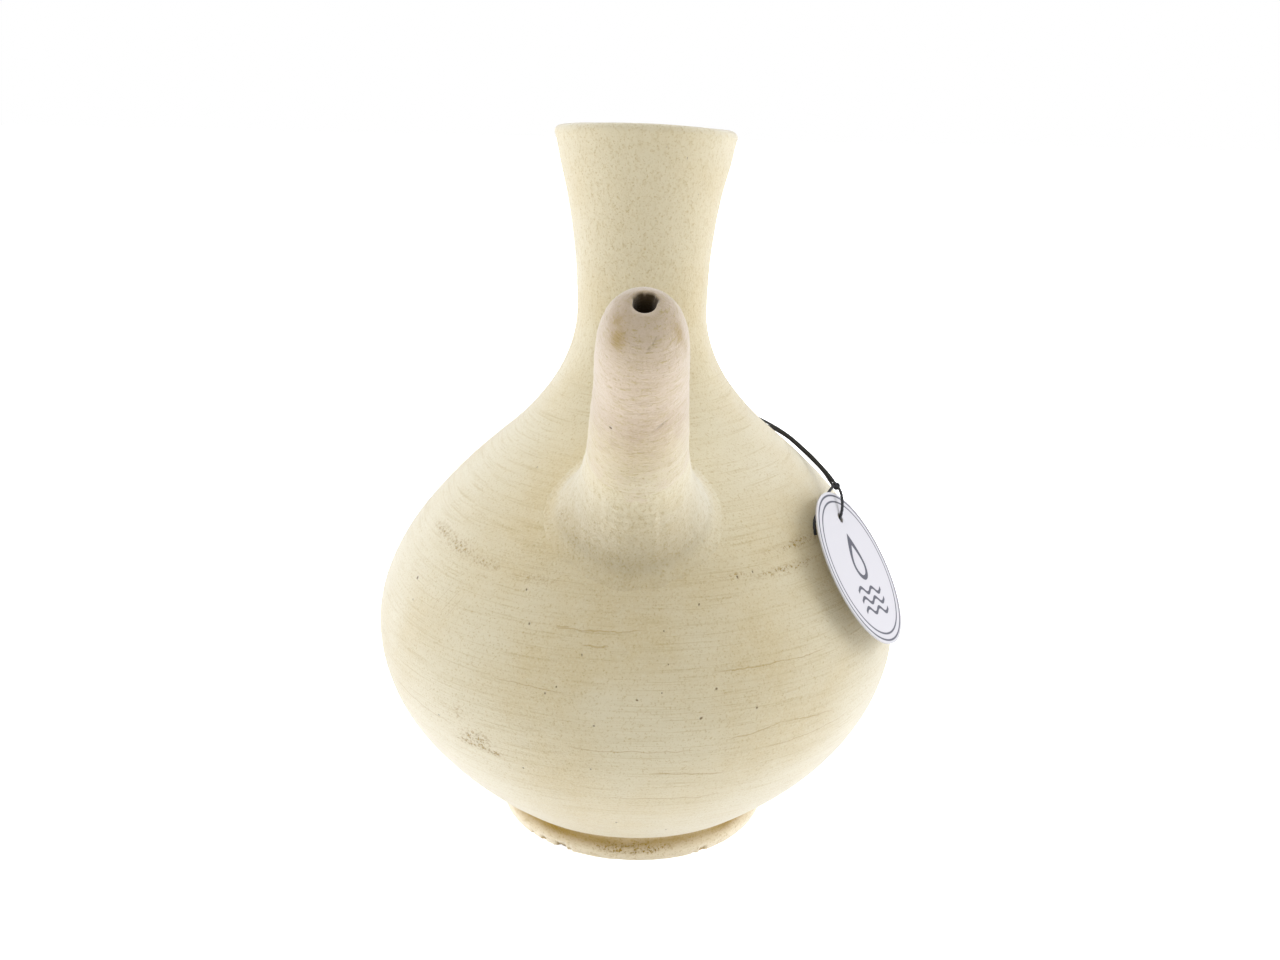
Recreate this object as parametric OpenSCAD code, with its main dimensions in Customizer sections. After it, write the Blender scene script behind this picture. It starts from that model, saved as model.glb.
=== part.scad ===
/* [Vessel profile] */
// Overall height, from the standing face to the top of the rim
pot_h = 280; // [260:1:300]
// Height where the bowl starts, above the turned foot
foot_h = 14; // [10:0.5:18]
// Outer radius of the bowl where it starts
bowl_start_r = 61.2; // [52:0.1:70]
// Growth of the bowl's radius for each millimetre of height at its start
bowl_start_slope = 1.22; // [1:0.01:1.4]
// Height of the widest place of the belly
belly_h = 84.5; // [76:0.5:92]
// Outer radius of the belly at its widest
belly_r = 105; // [98:0.5:112]
// Height of the steep middle of the shoulder
shoulder_h = 161.5; // [155:0.5:168]
// Outer radius in the middle of the shoulder
shoulder_r = 54.3; // [48:0.1:60]
// Loss of radius for each millimetre of height in the middle of the shoulder
shoulder_slope = 1.19; // [0.9:0.01:1.4]
// Height of the narrowest place of the neck
waist_h = 212; // [204:1:222]
// Outer radius of the neck at its narrowest
waist_r = 25.2; // [22:0.1:30]
// Outer radius of the mouth
rim_r = 35.8; // [31:0.1:40]
// Growth of the neck's radius for each millimetre of height at the mouth
rim_slope = 0.33; // [0.1:0.01:0.5]

/* [Walls and joints] */
// Wall of the bowl and of the shoulder
wall = 6; // [4:0.5:8]
// Wall of the neck
neck_wall = 5; // [4:0.5:6]
// Thickness of the floor
floor_t = 10; // [6:0.5:10.5]
// Height of the seam between the two thrown halves of the body
seam_h = 128; // [122:1:134]
// Height of the joint between the shoulder and the neck
neck_joint_h = 188; // [184:1:196]

/* [Foot] */
// Set-back of the foot under the edge of the bowl
foot_step = 3.7; // [1:0.1:5]
// Height of the middle of the turned groove
groove_h = 9; // [7.5:0.1:11]
// Radius at the bottom of the groove
groove_r = 54.4; // [53.6:0.1:57]
// Height of the thickest place of the lip under the groove
lip_h = 3.2; // [2:0.1:5]
// Radius of that lip
lip_r = 55.9; // [54.5:0.1:60]
// Radius of the standing face
stand_r = 54.8; // [48:0.1:56]

/* [Spout] */
// Rise of the spout's axis above the horizontal, in degrees
spout_rise = 54; // [50:0.5:60]
// Sideways lean of the spout, in degrees
spout_lean = 1; // [0:0.5:3]
// Sideways place of the spout's root
spout_side = -1; // [-3:0.5:3]
// Height on the shoulder where the spout's axis starts
spout_h = 152.3; // [148:0.1:156]
// Length of the spout along its axis, to the crown of its dome
spout_len = 102; // [92:1:112]
// Outer radius of the spout at its root
spout_root_r = 19.6; // [18:0.1:22]
// Outer radius of the spout where its domed end starts
spout_tip_r = 15; // [13:0.1:16.5]
// Length of the domed end
spout_dome = 35; // [28:0.5:40]
// Wall of the spout
spout_wall = 5; // [4:0.5:6]
// Radius of the drinking hole
spout_hole_r = 3.6; // [2.5:0.1:4.5]
// Length of the straight drinking hole
spout_throat = 12; // [8:0.5:16]
// Width of the flat ring around the drinking hole
spout_lip = 1; // [0.5:0.1:2]

/* [Spout collar] */
// How far up the spout the luted collar reaches
collar_top = 31; // [24:0.5:38]
// How far the collar spreads beyond the spout at the root
collar_flare = 9.3; // [6:0.1:12]
// How deep the collar and the spout's root follow the shoulder as it falls away
root_depth = 14; // [11:0.5:18]

/* [Handle] */
// Width of the strap
handle_w = 24; // [18:0.5:30]
// Thickness of the strap
handle_t = 10; // [8:0.5:12]
// Distance from the pot's axis to the middle of the strap where it stands out most
handle_out = 77; // [70:0.5:84]
// Height where the strap stands out most
handle_bend_h = 211; // [205:0.5:217]
// Radius of the upper bend
handle_bend_r = 34; // [31:0.5:38]
// Radius of the long curve down to the shoulder
handle_sweep_r = 150; // [120:1:200]
// Share by which the strap's ends are spread where they are pressed on
handle_spread = 0.35; // [0:0.05:0.6]
// Length over which the ends spread
handle_spread_len = 20; // [10:1:30]

/* [Hang tag] */
// Radius of the round card
tag_r = 31; // [28:0.5:34]
// Thickness of the card
tag_t = 0.6; // [0.4:0.1:0.8]
// Direction of the card around the pot, in degrees from the right-hand side
tag_turn = -20; // [-24:0.5:-16]
// Height on the belly where the card leans
tag_h = 120; // [116:0.5:124]
// Distance from the clay to the middle of the card
tag_gap = 1.2; // [0.9:0.1:2]
// Sideways place of the card's centre from where it leans
tag_side = -10; // [-14:0.5:-6]
// Place of the card's centre up the slope from where it leans
tag_lift = 1; // [-2:0.5:4]
// Radius of the hole for the cord
tag_hole_r = 2; // [1.7:0.1:2.5]
// Sideways place of that hole from the card's centre
tag_hole_side = 7.2; // [6.8:0.1:7.6]
// Place of that hole up from the card's centre
tag_hole_lift = 18.9; // [18.5:0.1:19.3]

/* [Cord] */
// Diameter of the waxed cotton cord
cord_d = 1.2; // [0.8:0.1:1.4]
// Radius of the knot that the card swings under
knot_r = 1.9; // [1.6:0.1:2.1]
// Radius of the small knot behind the card
tie_knot_r = 1.7; // [1.4:0.1:1.8]

/* [Hidden] */
$fn = 96;

// Height between two points of a thrown profile, before rounding to whole steps
profile_step = 3.5;
// Sides of the cord's tube
cord_sides = 8;
// How far cutting solids run past what they cut
past = 10;

buff_clay = "#e4d9b4";
pink_clay = "#e2d0b8";
ochre_clay = "#d3b880";
white_card = "#f2f3f8";
black_cord = "#242426";

// Stations of the outer profile: height, radius and growth of the radius with height
stations = [[foot_h, bowl_start_r, bowl_start_slope],
            [belly_h, belly_r, 0],
            [shoulder_h, shoulder_r, -shoulder_slope],
            [waist_h, waist_r, 0],
            [pot_h, rim_r, rim_slope]];

// Cubic between two stations, which keeps the radius and the slope of both
function between(a, b, z) =
    let (h = b[0] - a[0], t = (z - a[0]) / h)
    (2 * t ^ 3 - 3 * t ^ 2 + 1) * a[1] + (t ^ 3 - 2 * t ^ 2 + t) * h * a[2]
    + (3 * t ^ 2 - 2 * t ^ 3) * b[1] + (t ^ 3 - t ^ 2) * h * b[2];
function span_of(z, i = 0) = i == len(stations) - 2 || z < stations[i + 1][0] ? i : span_of(z, i + 1);
function out_r(z) = let (i = span_of(z)) between(stations[i], stations[i + 1], z);
function out_slope(z) = let (d = 0.05) (out_r(z + d) - out_r(z - d)) / (2 * d);
function wall_at(z) = lookup(z, [[shoulder_h, wall], [waist_h, neck_wall]]);
function in_r(z) = out_r(z) - wall_at(z) * sqrt(1 + out_slope(z) ^ 2);

// Heights from low to high in whole steps
function heights(low, high) = let (n = ceil((high - low) / profile_step)) [for (i = [0:n]) low + (high - low) * i / n];
function outer_line(low, high) = [for (z = heights(low, high)) [out_r(z), z]];
function inner_line(low, high) = [for (z = heights(low, high)) [in_r(z), z]];
function turned_back(line) = [for (i = [len(line) - 1:-1:0]) line[i]];

// One thrown ring of wall, with flat joints below and above
module thrown_wall(low, high) {
    rotate_extrude() polygon(concat(outer_line(low, high), turned_back(inner_line(low, high))));
}

// The vessel's outer shape as a full solid, for cutting what is luted on to it
module outer_shape(low, high) {
    rotate_extrude() polygon(concat([[0, low]], outer_line(low, high), [[0, high]]));
}

// Frame of the spout: its origin is on the shoulder and its Z axis runs out along the spout
spout_root = [spout_side, -out_r(spout_h), spout_h];
module on_spout_axis() {
    translate(spout_root) rotate([90 - spout_rise, 0, 0]) rotate([0, spout_lean, 0]) children();
}
spout_cone_len = spout_len - spout_dome;
spout_channel_r = spout_root_r - spout_wall;
function spout_r(s) = s <= spout_cone_len
    ? spout_root_r + (spout_tip_r - spout_root_r) * s / spout_cone_len
    : spout_tip_r * (1 - ((s - spout_cone_len) / spout_dome) ^ 3) ^ (1 / 3);
// Place along the axis where the dome has narrowed to the ring around the hole
spout_end = spout_cone_len + spout_dome * (1 - ((spout_hole_r + spout_lip) / spout_tip_r) ^ 3) ^ (1 / 3);
// The dome's points crowd towards its end, where it turns most
dome_steps = 14;
dome_line = [for (i = [0:dome_steps]) let (s = spout_cone_len + (spout_end - spout_cone_len) * sin(90 * i / dome_steps))
             [spout_r(s), s]];

// Frame of the card: X runs sideways along the belly, Y up the slope and Z out of the pot
tag_tilt = atan(-out_slope(tag_h));
module on_tag() {
    rotate([0, 0, tag_turn]) translate([out_r(tag_h), 0, tag_h]) rotate([90, 0, 90]) rotate([-tag_tilt, 0, 0])
        translate([tag_side, tag_lift, tag_gap]) children();
}

// Places of the two knots
knot_at = [77, -18, 146.3];
tie_knot_at = [69.9, -33.9, 142.2];
// Route of the doubled cord, from the knot over the shoulder, round the handle and back
cord_route = [
    [76.6, -15.7, 147.2], [75, -11.6, 148.8], [72.4, -6, 150.8], [69.6, -0.4, 152.8], [66.2, 6, 154.8],
    [62, 14.6, 156.8], [56.8, 23.6, 158.4], [50.6, 33, 159.6], [42, 44.4, 161], [31.5, 55.5, 163],
    [22, 66, 164.4], [15.6, 73.5, 165.2], [10, 77.6, 165.8], [3, 78.8, 166], [-4, 78.8, 166],
    [-10, 77.4, 165.8], [-13.8, 73.6, 165.4], [-14.2, 68.6, 165.2], [-11, 64.6, 165], [-5, 63.2, 164.8],
    [2, 62.9, 164.4], [9, 62.4, 163.6], [16.5, 60.6, 162.4], [25, 56.4, 160.8], [33.4, 51, 159.4],
    [41.4, 44.6, 158], [49, 37.2, 157.1], [55.5, 27.9, 156.2], [61.3, 17.2, 155.1], [65.8, 7.6, 153],
    [69.4, -0.4, 151], [73, -8, 148.6], [76, -15.6, 145.8]];
// Route of the strand that goes through the card's hole and up behind the card
front_route = [
    [77.8, -18.8, 146], [78.4, -21.4, 145.3], [78.7, -24.2, 143.9], [78.7, -27, 141.7], [78.2, -29.5, 139.3],
    [77.4, -31.1, 137.4], [76.5, -32.6, 136], [75.4, -34.5, 135.3], [74.1, -36.3, 135.7], [72.7, -37.3, 137.4],
    [71.4, -37, 139], [70.6, -35.8, 140.4], [70.3, -34.2, 141.3]];
// Route of the strand that goes behind the card and ends at the card's far edge
tail_route = [
    [76.1, -18.7, 146.4], [74.8, -21.4, 146], [72.9, -25.2, 144.9], [71.6, -28.4, 143.9], [70.3, -32, 143],
    [69, -35.8, 142.3], [67.4, -40, 141.9], [66, -44.2, 141.3], [65.5, -47.4, 139.6], [65.9, -49.2, 136.8]];

// A smooth line through a route's points, with whole steps between each two
function blend(a, b, c, d, t) =
    (2 * b + (c - a) * t + (2 * a - 5 * b + 4 * c - d) * t ^ 2 + (3 * b - a - 3 * c + d) * t ^ 3) / 2;
function smooth_route(p, steps) = let (n = len(p) - 1)
    concat([for (i = [0:n - 1]) for (k = [0:steps - 1])
            blend(p[max(i - 1, 0)], p[i], p[i + 1], p[min(i + 2, n)], k / steps)], [p[n]]);
function unit(v) = v / norm(v);
function directions(q) = let (n = len(q) - 1) [for (i = [0:n]) unit(q[min(i + 1, n)] - q[max(i - 1, 0)])];
// A side direction carried along the line without twist
function carried(dirs, side) = [for (i = 0, s = unit(side - dirs[0] * (side * dirs[0])); i < len(dirs); i = i + 1,
                                s = i < len(dirs) ? unit(s - dirs[i] * (s * dirs[i])) : s) s];

// A closed skin over rings of points that have the same number of points each
module loft(rings) {
    last = len(rings) - 1;
    m = len(rings[0]);
    skin = [for (i = [0:last - 1]) for (k = [0:m - 1]) let (a = i * m + k, b = i * m + (k + 1) % m)
            each [[a, a + m, b], [b, a + m, b + m]]];
    near_end = [for (k = [1:m - 2]) [0, k, k + 1]];
    far_end = [for (k = [1:m - 2]) [last * m, last * m + k + 1, last * m + k]];
    polyhedron([for (ring = rings) each ring], concat(skin, near_end, far_end));
}

// The cord's tube, with a ring at each point of its line
module tube(route, steps) {
    line = smooth_route(route, steps);
    dirs = directions(line);
    sides = carried(dirs, [0.3, 0.2, 1]);
    loft([for (i = [0:len(line) - 1]) let (s = sides[i], u = cross(dirs[i], s)) [for (k = [0:cord_sides - 1])
          line[i] + cord_d / 2 * (s * cos(360 * k / cord_sides) + u * sin(360 * k / cord_sides))]]);
}

// Turned base of the pot: standing face, lip, groove and dished floor
module foot() color(ochre_clay) {
    outline = [[0, 0], [stand_r, 0], [stand_r + (lip_r - stand_r) * 0.7, lip_h * 0.3], [lip_r, lip_h],
               [(lip_r + groove_r) / 2, (lip_h + groove_h) / 2], [groove_r, groove_h],
               [bowl_start_r - foot_step, foot_h], [0, foot_h]];
    difference() {
        rotate_extrude() polygon(outline);
        translate([0, 0, floor_t]) cylinder(r = in_r(foot_h), h = foot_h);
    }
}

// First thrown half: the bowl up to the seam
module lower_body() color(buff_clay) thrown_wall(foot_h, seam_h);

// Second thrown half: from the seam up to the neck, pierced for the spout
module shoulder() color(buff_clay) difference() {
    thrown_wall(seam_h, neck_joint_h);
    on_spout_axis() translate([0, 0, -root_depth - past]) cylinder(r = spout_channel_r, h = root_depth + 2 * past);
}

// Flared neck with a rounded rim, the mouth for filling
module neck() color(buff_clay) {
    round_r = neck_wall / 2;
    round_h = pot_h - round_r;
    mid_r = (out_r(round_h) + in_r(round_h)) / 2;
    half = (out_r(round_h) - in_r(round_h)) / 2;
    crown = [for (a = [15:15:165]) [mid_r + half * cos(a), round_h + round_r * sin(a)]];
    rotate_extrude() polygon(concat(outer_line(neck_joint_h, round_h), crown,
                                    turned_back(inner_line(neck_joint_h, round_h))));
}

// Drinking spout, thrown on its own and luted over the hole in the shoulder
module spout() color(pink_clay) difference() {
    on_spout_axis() rotate_extrude() polygon(concat(
        [[spout_channel_r, -root_depth], [spout_r(-root_depth), -root_depth]],
        dome_line,
        [[spout_hole_r, spout_end], [spout_hole_r, spout_end - spout_throat],
         [spout_tip_r - spout_wall, spout_cone_len], [spout_channel_r, 0]]));
    outer_shape(seam_h - 4 * past, neck_joint_h);
}

// Clay pressed around the root of the spout to lute it on
module spout_collar() color(buff_clay) {
    steps = 12;
    flare = [for (i = [0:steps]) let (s = collar_top * i / steps)
             [spout_r(s) + collar_flare * sin(90 * (1 - i / steps)), s]];
    difference() {
        on_spout_axis() rotate_extrude() polygon(concat(
            [[spout_r(-root_depth), -root_depth], [spout_r(0) + collar_flare, -root_depth]], flare));
        outer_shape(seam_h - 4 * past, neck_joint_h);
    }
}

// Strap handle behind the neck, pulled from clay and spread where it is pressed on at both ends
function strap_middle(r, a) = [0, handle_out - r + r * cos(a), handle_bend_h + r * sin(a)];
function strap_meets(r, a, turn) = let (p = strap_middle(r, a)) p[1] <= out_r(p[2]) ? a : strap_meets(r, a + turn, turn);
neck_meet = strap_meets(handle_bend_r, 0, 1);
shoulder_meet = strap_meets(handle_sweep_r, 0, -0.5);
// Swell of the strap at an angle of its bend, from its distance to where it meets the pot
function strap_swell(r, a, meet) = let (gap = max(0, abs(meet) - abs(a)) * r * PI / 180)
    1 + handle_spread * max(0, 1 - gap / handle_spread_len) ^ 2;
function strap_ring(r, a, meet) = let (k = strap_swell(r, a, meet)) [for (b = [0:15:345])
    strap_middle(r, a)
    + k * handle_t / 2 * sign(cos(b)) * abs(cos(b)) ^ 0.8 * [0, cos(a), sin(a)]
    + k * handle_w / 2 * sign(sin(b)) * abs(sin(b)) ^ 0.8 * [1, 0, 0]];
module handle() color(buff_clay) difference() {
    rings = concat([for (a = [neck_meet + 16:-8:4]) strap_ring(handle_bend_r, a, neck_meet)],
                   [for (a = [0:-2.5:shoulder_meet - 8]) strap_ring(handle_sweep_r, a, shoulder_meet)]);
    loft(rings);
    outer_shape(seam_h - 2 * past, pot_h - past);
}

// Black cord from the handle to the knot above the card, both strands in one
module tag_cord() color(black_cord) tube(cord_route, 2);
module tag_knot() color(black_cord) translate(knot_at) sphere(r = knot_r, $fn = 32);
module front_strand() color(black_cord) tube(front_route, 1);
module tail_strand() color(black_cord) tube(tail_route, 1);
module tie_knot() color(black_cord) translate(tie_knot_at) sphere(r = tie_knot_r, $fn = 32);

// Round card with a hole for the cord
module hang_tag() color(white_card) on_tag() difference() {
    translate([0, 0, -tag_t / 2]) cylinder(r = tag_r, h = tag_t);
    translate([tag_hole_side, tag_hole_lift, -tag_t]) cylinder(r = tag_hole_r, h = 2 * tag_t, $fn = 32);
}

foot();
lower_body();
shoulder();
neck();
spout();
spout_collar();
handle();
tag_cord();
tag_knot();
front_strand();
tail_strand();
tie_knot();
hang_tag();
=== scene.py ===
"""Spanish botijo in unglazed buff clay, with a round card on a black cord.

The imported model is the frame. This file gives every clay part its thrown and scraped skin, the spout its
chipped hole, and the card its cord, knots and print. Lengths are in metres, in the frame's own axes.
"""

import math

import bpy
import numpy as np
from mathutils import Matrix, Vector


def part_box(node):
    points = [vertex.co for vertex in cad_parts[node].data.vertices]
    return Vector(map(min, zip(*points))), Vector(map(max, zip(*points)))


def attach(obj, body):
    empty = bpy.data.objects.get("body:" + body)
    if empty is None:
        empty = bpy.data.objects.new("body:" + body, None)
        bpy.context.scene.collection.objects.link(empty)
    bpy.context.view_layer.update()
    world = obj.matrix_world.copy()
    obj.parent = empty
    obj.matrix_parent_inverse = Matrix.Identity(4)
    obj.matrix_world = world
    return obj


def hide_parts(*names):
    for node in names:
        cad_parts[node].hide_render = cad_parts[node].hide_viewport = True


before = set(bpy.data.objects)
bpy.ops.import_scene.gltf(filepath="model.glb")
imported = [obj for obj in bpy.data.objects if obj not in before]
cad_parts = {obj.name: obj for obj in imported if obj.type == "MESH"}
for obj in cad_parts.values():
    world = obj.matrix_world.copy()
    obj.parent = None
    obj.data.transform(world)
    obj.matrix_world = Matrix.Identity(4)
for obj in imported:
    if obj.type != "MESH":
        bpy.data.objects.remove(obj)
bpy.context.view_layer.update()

bl_info = {
    "name": "Spanish botijo",
    "version": (1, 0, 0),
    "blender": (4, 5, 0),
    "location": "View3D > Sidebar > Botijo",
    "description": "Builds the skin, cord and card of an unglazed water jug around its frame",
    "category": "Add Mesh",
}

MM = 0.001

# Heights that the frame gives: bottom of the bowl, seam of its two halves, foot of the neck, and rim
BOWL_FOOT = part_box("lower_body")[0].z
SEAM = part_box("shoulder")[0].z
NECK_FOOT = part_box("neck")[0].z
RIM_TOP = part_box("neck")[1].z

# Columns of points around the thrown parts, and the step between their rows
WALL_COLUMNS = 640
WALL_STEP = 1.1 * MM

# How deep the hidden ends of the pressed-on parts reach into the wall
BURIED = 2 * MM


def linear(hex_colour):
    """An sRGB hex colour as linear red, green, blue and a full alpha."""
    parts = [int(hex_colour[i:i + 2], 16) / 255 for i in (1, 3, 5)]
    return [c / 12.92 if c <= 0.04045 else ((c + 0.055) / 1.055) ** 2.4 for c in parts] + [1.0]


def length(label, text, size, low=0.0):
    """A property that holds a length of the pot."""
    return bpy.props.FloatProperty(name=label, description=text, default=size, min=low, unit="LENGTH")


def fraction(label, text, value):
    """A property that holds a share from 0 to 1."""
    return bpy.props.FloatProperty(
        name=label, description=text, default=value, min=0, max=1, subtype="FACTOR")


def angle(label, text, degrees):
    """A property that holds an angle."""
    return bpy.props.FloatProperty(
        name=label, description=text, default=math.radians(degrees), subtype="ANGLE")


def number(label, text, value):
    """A property that holds a plain number."""
    return bpy.props.FloatProperty(name=label, description=text, default=value)


def colour(label, text, hex_colour):
    """A property that holds a colour."""
    return bpy.props.FloatVectorProperty(
        name=label, description=text, default=linear(hex_colour), size=4, subtype="COLOR", min=0, max=1)


class BotijoWall(bpy.types.PropertyGroup):
    """Profile of the thrown wall and its unevenness."""
    bowl_radius: length("Bowl start", "Outer radius of the bowl just above the foot", 61.2 * MM)
    bowl_slope: number("Bowl slope", "Growth of the radius there", 1.22)
    belly_height: length("Belly height", "Height of the widest place", 84.5 * MM)
    belly_radius: length("Belly radius", "Outer radius at the widest place", 105 * MM)
    shoulder_height: length("Shoulder height", "Height of the steep middle of the shoulder", 161.5 * MM)
    shoulder_radius: length("Shoulder radius", "Outer radius there", 54.3 * MM)
    shoulder_slope: number("Shoulder slope", "Loss of radius there", 1.19)
    waist_height: length("Waist height", "Height of the narrowest place of the neck", 212 * MM)
    waist_radius: length("Waist radius", "Outer radius there", 25.2 * MM)
    rim_radius: length("Rim radius", "Outer radius of the mouth", 35.8 * MM)
    rim_slope: number("Rim slope", "Growth of the radius at the mouth", 0.33)
    thickness: length("Wall", "Thickness of the bowl and shoulder", 6 * MM)
    neck_thickness: length("Neck wall", "Thickness of the neck", 5 * MM)
    lip_drop: length("Lip", "Height of the rounded lip at the mouth", 2.6 * MM)
    lip_tuck: length("Lip tuck", "How far the potter's thumb drew the lip in", 0.9 * MM)
    rim_tilt: length("Rim tilt", "How far the mouth dips towards the card's side", 0.7 * MM)
    rim_rise: length("Rim rise", "How far the mouth rises towards the spout", 3.2 * MM)
    rim_dip: length("Rim dip", "How far the rest of the mouth lies below the frame's rim", 0.65 * MM)
    edge: length("Bowl edge", "Rounding of the bowl's edge above the foot", 1.0 * MM)
    swell: length("Swell", "Height of the broad unevenness left by the hands", 0.35 * MM)
    dents: length("Dents", "Height of the finer dents", 0.12 * MM)
    rings: length("Rings", "Height of the rings left by turning", 0.05 * MM)
    scar: length("Scar", "Depth of the crumbly places along the seam", 0.22 * MM)


class BotijoFoot(bpy.types.PropertyGroup):
    """Sections of the turned foot."""
    stand_radius: length("Standing face", "Radius of the standing face", 54.8 * MM)
    lip_radius: length("Lip radius", "Radius of the lip under the groove", 55.9 * MM)
    lip_height: length("Lip height", "Height of that lip's widest place", 3.2 * MM)
    groove_radius: length("Groove radius", "Radius at the bottom of the groove", 54.4 * MM)
    groove_height: length("Groove height", "Height of the middle of the groove", 9 * MM)
    step: length("Step", "Set-back of the foot under the bowl", 3.7 * MM)
    floor: length("Floor", "Thickness of the floor", 10 * MM)
    crumbs: length("Crumbs", "Height of the crumbs below the groove", 0.5 * MM)


class BotijoSpout(bpy.types.PropertyGroup):
    """The drinking spout and the clay pressed around its root."""
    root_height: length("Root height", "Height on the shoulder where the axis starts", 152.3 * MM)
    root_side: length("Root side", "Sideways place of the root", -1 * MM, low=-1.0)
    rise: angle("Rise", "Rise of the axis", 54)
    lean: angle("Lean", "Sideways lean", 1)
    reach: length("Length", "Length along the axis to the crown of the dome", 102 * MM)
    root_radius: length("Root radius", "Outer radius at the root", 19.6 * MM)
    tip_radius: length("Tip radius", "Outer radius where the dome starts", 15 * MM)
    dome: length("Dome", "Length of the domed end", 35 * MM)
    wall: length("Wall", "Thickness of the spout", 5 * MM)
    hole_radius: length("Hole", "Radius of the drinking hole", 3.6 * MM)
    throat: length("Throat", "Length of the straight drinking hole", 12 * MM)
    crown: length("Crown", "Width of the flat crown around the hole", 1.7 * MM)
    chips: length("Chips", "Depth of the chips on the hole's far side", 1.25 * MM)
    rings: length("Throwing rings", "Height of the fine rings along the spout", 0.07 * MM)
    pink_from: length("Bare from", "Where the buff slip ends and the pinkish clay starts", 62 * MM)
    collar_top: length("Collar top", "How far up the spout the collar reaches", 33 * MM)
    wing_flare: length("Wings", "Spread of the collar at both sides", 7.2 * MM)
    front_flare: length("Front", "Spread of the collar at the front", 4.6 * MM)
    back_flare: length("Back", "Spread of the collar towards the neck", 6.0 * MM)
    wing_melt: length("Wing foot", "Radius with which the wings melt into the shoulder", 3.2 * MM)
    front_melt: length("Front foot", "Radius with which the collar's front melts into the belly", 7 * MM)
    smears: length("Smears", "Depth of the finger marks on the collar", 0.13 * MM)
    root_depth: length("Root depth", "How deep the root follows the shoulder", 14 * MM)


class BotijoHandle(bpy.types.PropertyGroup):
    """The pulled strap behind the neck."""
    width: length("Width", "Width of the strap", 24 * MM)
    thickness: length("Thickness", "Thickness of the strap", 10 * MM)
    outreach: length("Outreach", "Distance from the pot's axis to the strap's furthest place", 77 * MM)
    bend_height: length("Bend height", "Height where the strap stands out most", 211 * MM)
    bend_radius: length("Upper bend", "Radius of the upper bend", 34 * MM)
    sweep_radius: length("Lower sweep", "Radius of the long curve down to the shoulder", 150 * MM)
    spread: fraction("Spread", "Share by which the pressed ends are wider", 0.35)
    spread_length: length("Spread length", "Length over which the ends spread", 20 * MM)
    melt: length("Pressed ends", "Radius with which the ends melt into the pot", 5 * MM)
    grooves: length("Grooves", "Depth of the lengthwise marks of the wet hand", 0.3 * MM)


class BotijoCard(bpy.types.PropertyGroup):
    """The round card, its cord and its print."""
    radius: length("Radius", "Radius of the card", 31 * MM)
    thickness: length("Thickness", "Thickness of the card", 0.6 * MM)
    turn: angle("Turn", "Direction of the card from +X", -20)
    height: length("Height", "Height on the belly where the card leans", 120 * MM)
    clearance: length("Clearance", "Distance from the clay to the card's middle", 1.2 * MM)
    side: length("Side", "Sideways place of the card's centre", -10 * MM, low=-1.0)
    lift: length("Lift", "Place of the card's centre up the slope", 1 * MM)
    hole_radius: length("Hole", "Radius of the cord's hole", 2 * MM)
    hole_side: length("Hole side", "Sideways place of the hole", 7.2 * MM)
    hole_lift: length("Hole lift", "Place of the hole up the card", 18.9 * MM)
    cord: length("Cord", "Diameter of the waxed cord", 1.2 * MM)
    outer_ring: length("Outer ring", "Radius of the outer printed ring", 29.6 * MM)
    inner_ring: length("Inner ring", "Radius of the inner printed ring", 27.0 * MM)
    line: length("Line", "Width of the printed lines", 0.75 * MM)
    drop: length("Drop", "Radius of the printed water drop", 6.4 * MM)


class BotijoColours(bpy.types.PropertyGroup):
    """Colours of clay, card and cord."""
    clay: colour("Clay", "Dry buff clay", "#e1d3ab")
    pale_clay: colour("Pale clay", "Smoothed places with fine slip", "#e8dfc1")
    # Painted light: the foot's clay is much paler than the body's, to stand in for light on its shaded lip
    foot_clay: colour("Foot clay", "Clay of the turned foot, wiped clean", "#fbf2db")
    worked_clay: colour("Worked clay", "Clay in the fine marks of tools and fingers", "#c8b479")
    pink_clay: colour("Pink clay", "The spout's pinkish clay", "#d0bb9d")
    pale_pink: colour("Pale pink clay", "The spout's smoothed places", "#e0cfb6")
    # In the foot's groove the ochre also stands partly for painted shade
    ochre: colour("Ochre", "Bare crumbly clay in scars and in the groove", "#b39230")
    shadow: colour("Pit", "Clay deep in pits and cracks", "#80632e")
    # Painted shade: depth is the dark brown mixed in as shade in the drinking hole, in chips and under the
    # collar; it also darkens the dome and tears
    depth: colour("Depth", "Damp clay inside the drinking hole", "#5a4828")
    # Painted shade: the white card takes a grey, to stand in for less light under the strong side light
    card: colour("Card", "Coated white card", "#c4c1c1")
    print_grey: colour("Print", "Grey printing ink", "#3f3e48")
    cord: colour("Cord", "Black waxed cotton", "#121215")
    cord_wax: colour("Cord wax", "Wax on the cord's fibres", "#2c2c31")
    floor: colour("Floor", "Pale floor", "#f8f8f8")


class BotijoStage(bpy.types.PropertyGroup):
    """Camera and light."""
    camera_back: length("Back", "Distance of the camera in front of the pot's axis", 500 * MM)
    camera_height: length("Height", "Height of the camera", 298.1 * MM)
    camera_side: length("Side", "Sideways place of the camera", 0.49 * MM)
    pitch: angle("Pitch", "Downward tilt", 17.41)
    roll: angle("Roll", "Turn about the view", 1.163)
    lens: number("Lens", "Focal length in millimetres on a 36 mm sensor", 36.34)
    side_light: number("Side light", "Power of each side light, in watts", 9.6)
    side_tone: bpy.props.FloatVectorProperty(
        name="Side tone", description="Colour of the side lights, a little cool", default=(0.98, 1.01, 1.13),
        size=3, subtype="COLOR")
    top_light: number("Top light", "Power of the top light, in watts", 7.3)
    sky: number("Sky", "Strength of the light from all around", 0.37)
    front_sky: fraction("Front sky", "Share of that light left at the camera's side", 0.4)
    table_glow: number("Table glow", "Light that the white table gives by itself", 0.42)


SIZES = {
    "wall": BotijoWall, "foot": BotijoFoot, "spout": BotijoSpout, "handle": BotijoHandle,
    "card": BotijoCard, "colours": BotijoColours, "stage": BotijoStage,
}


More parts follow.
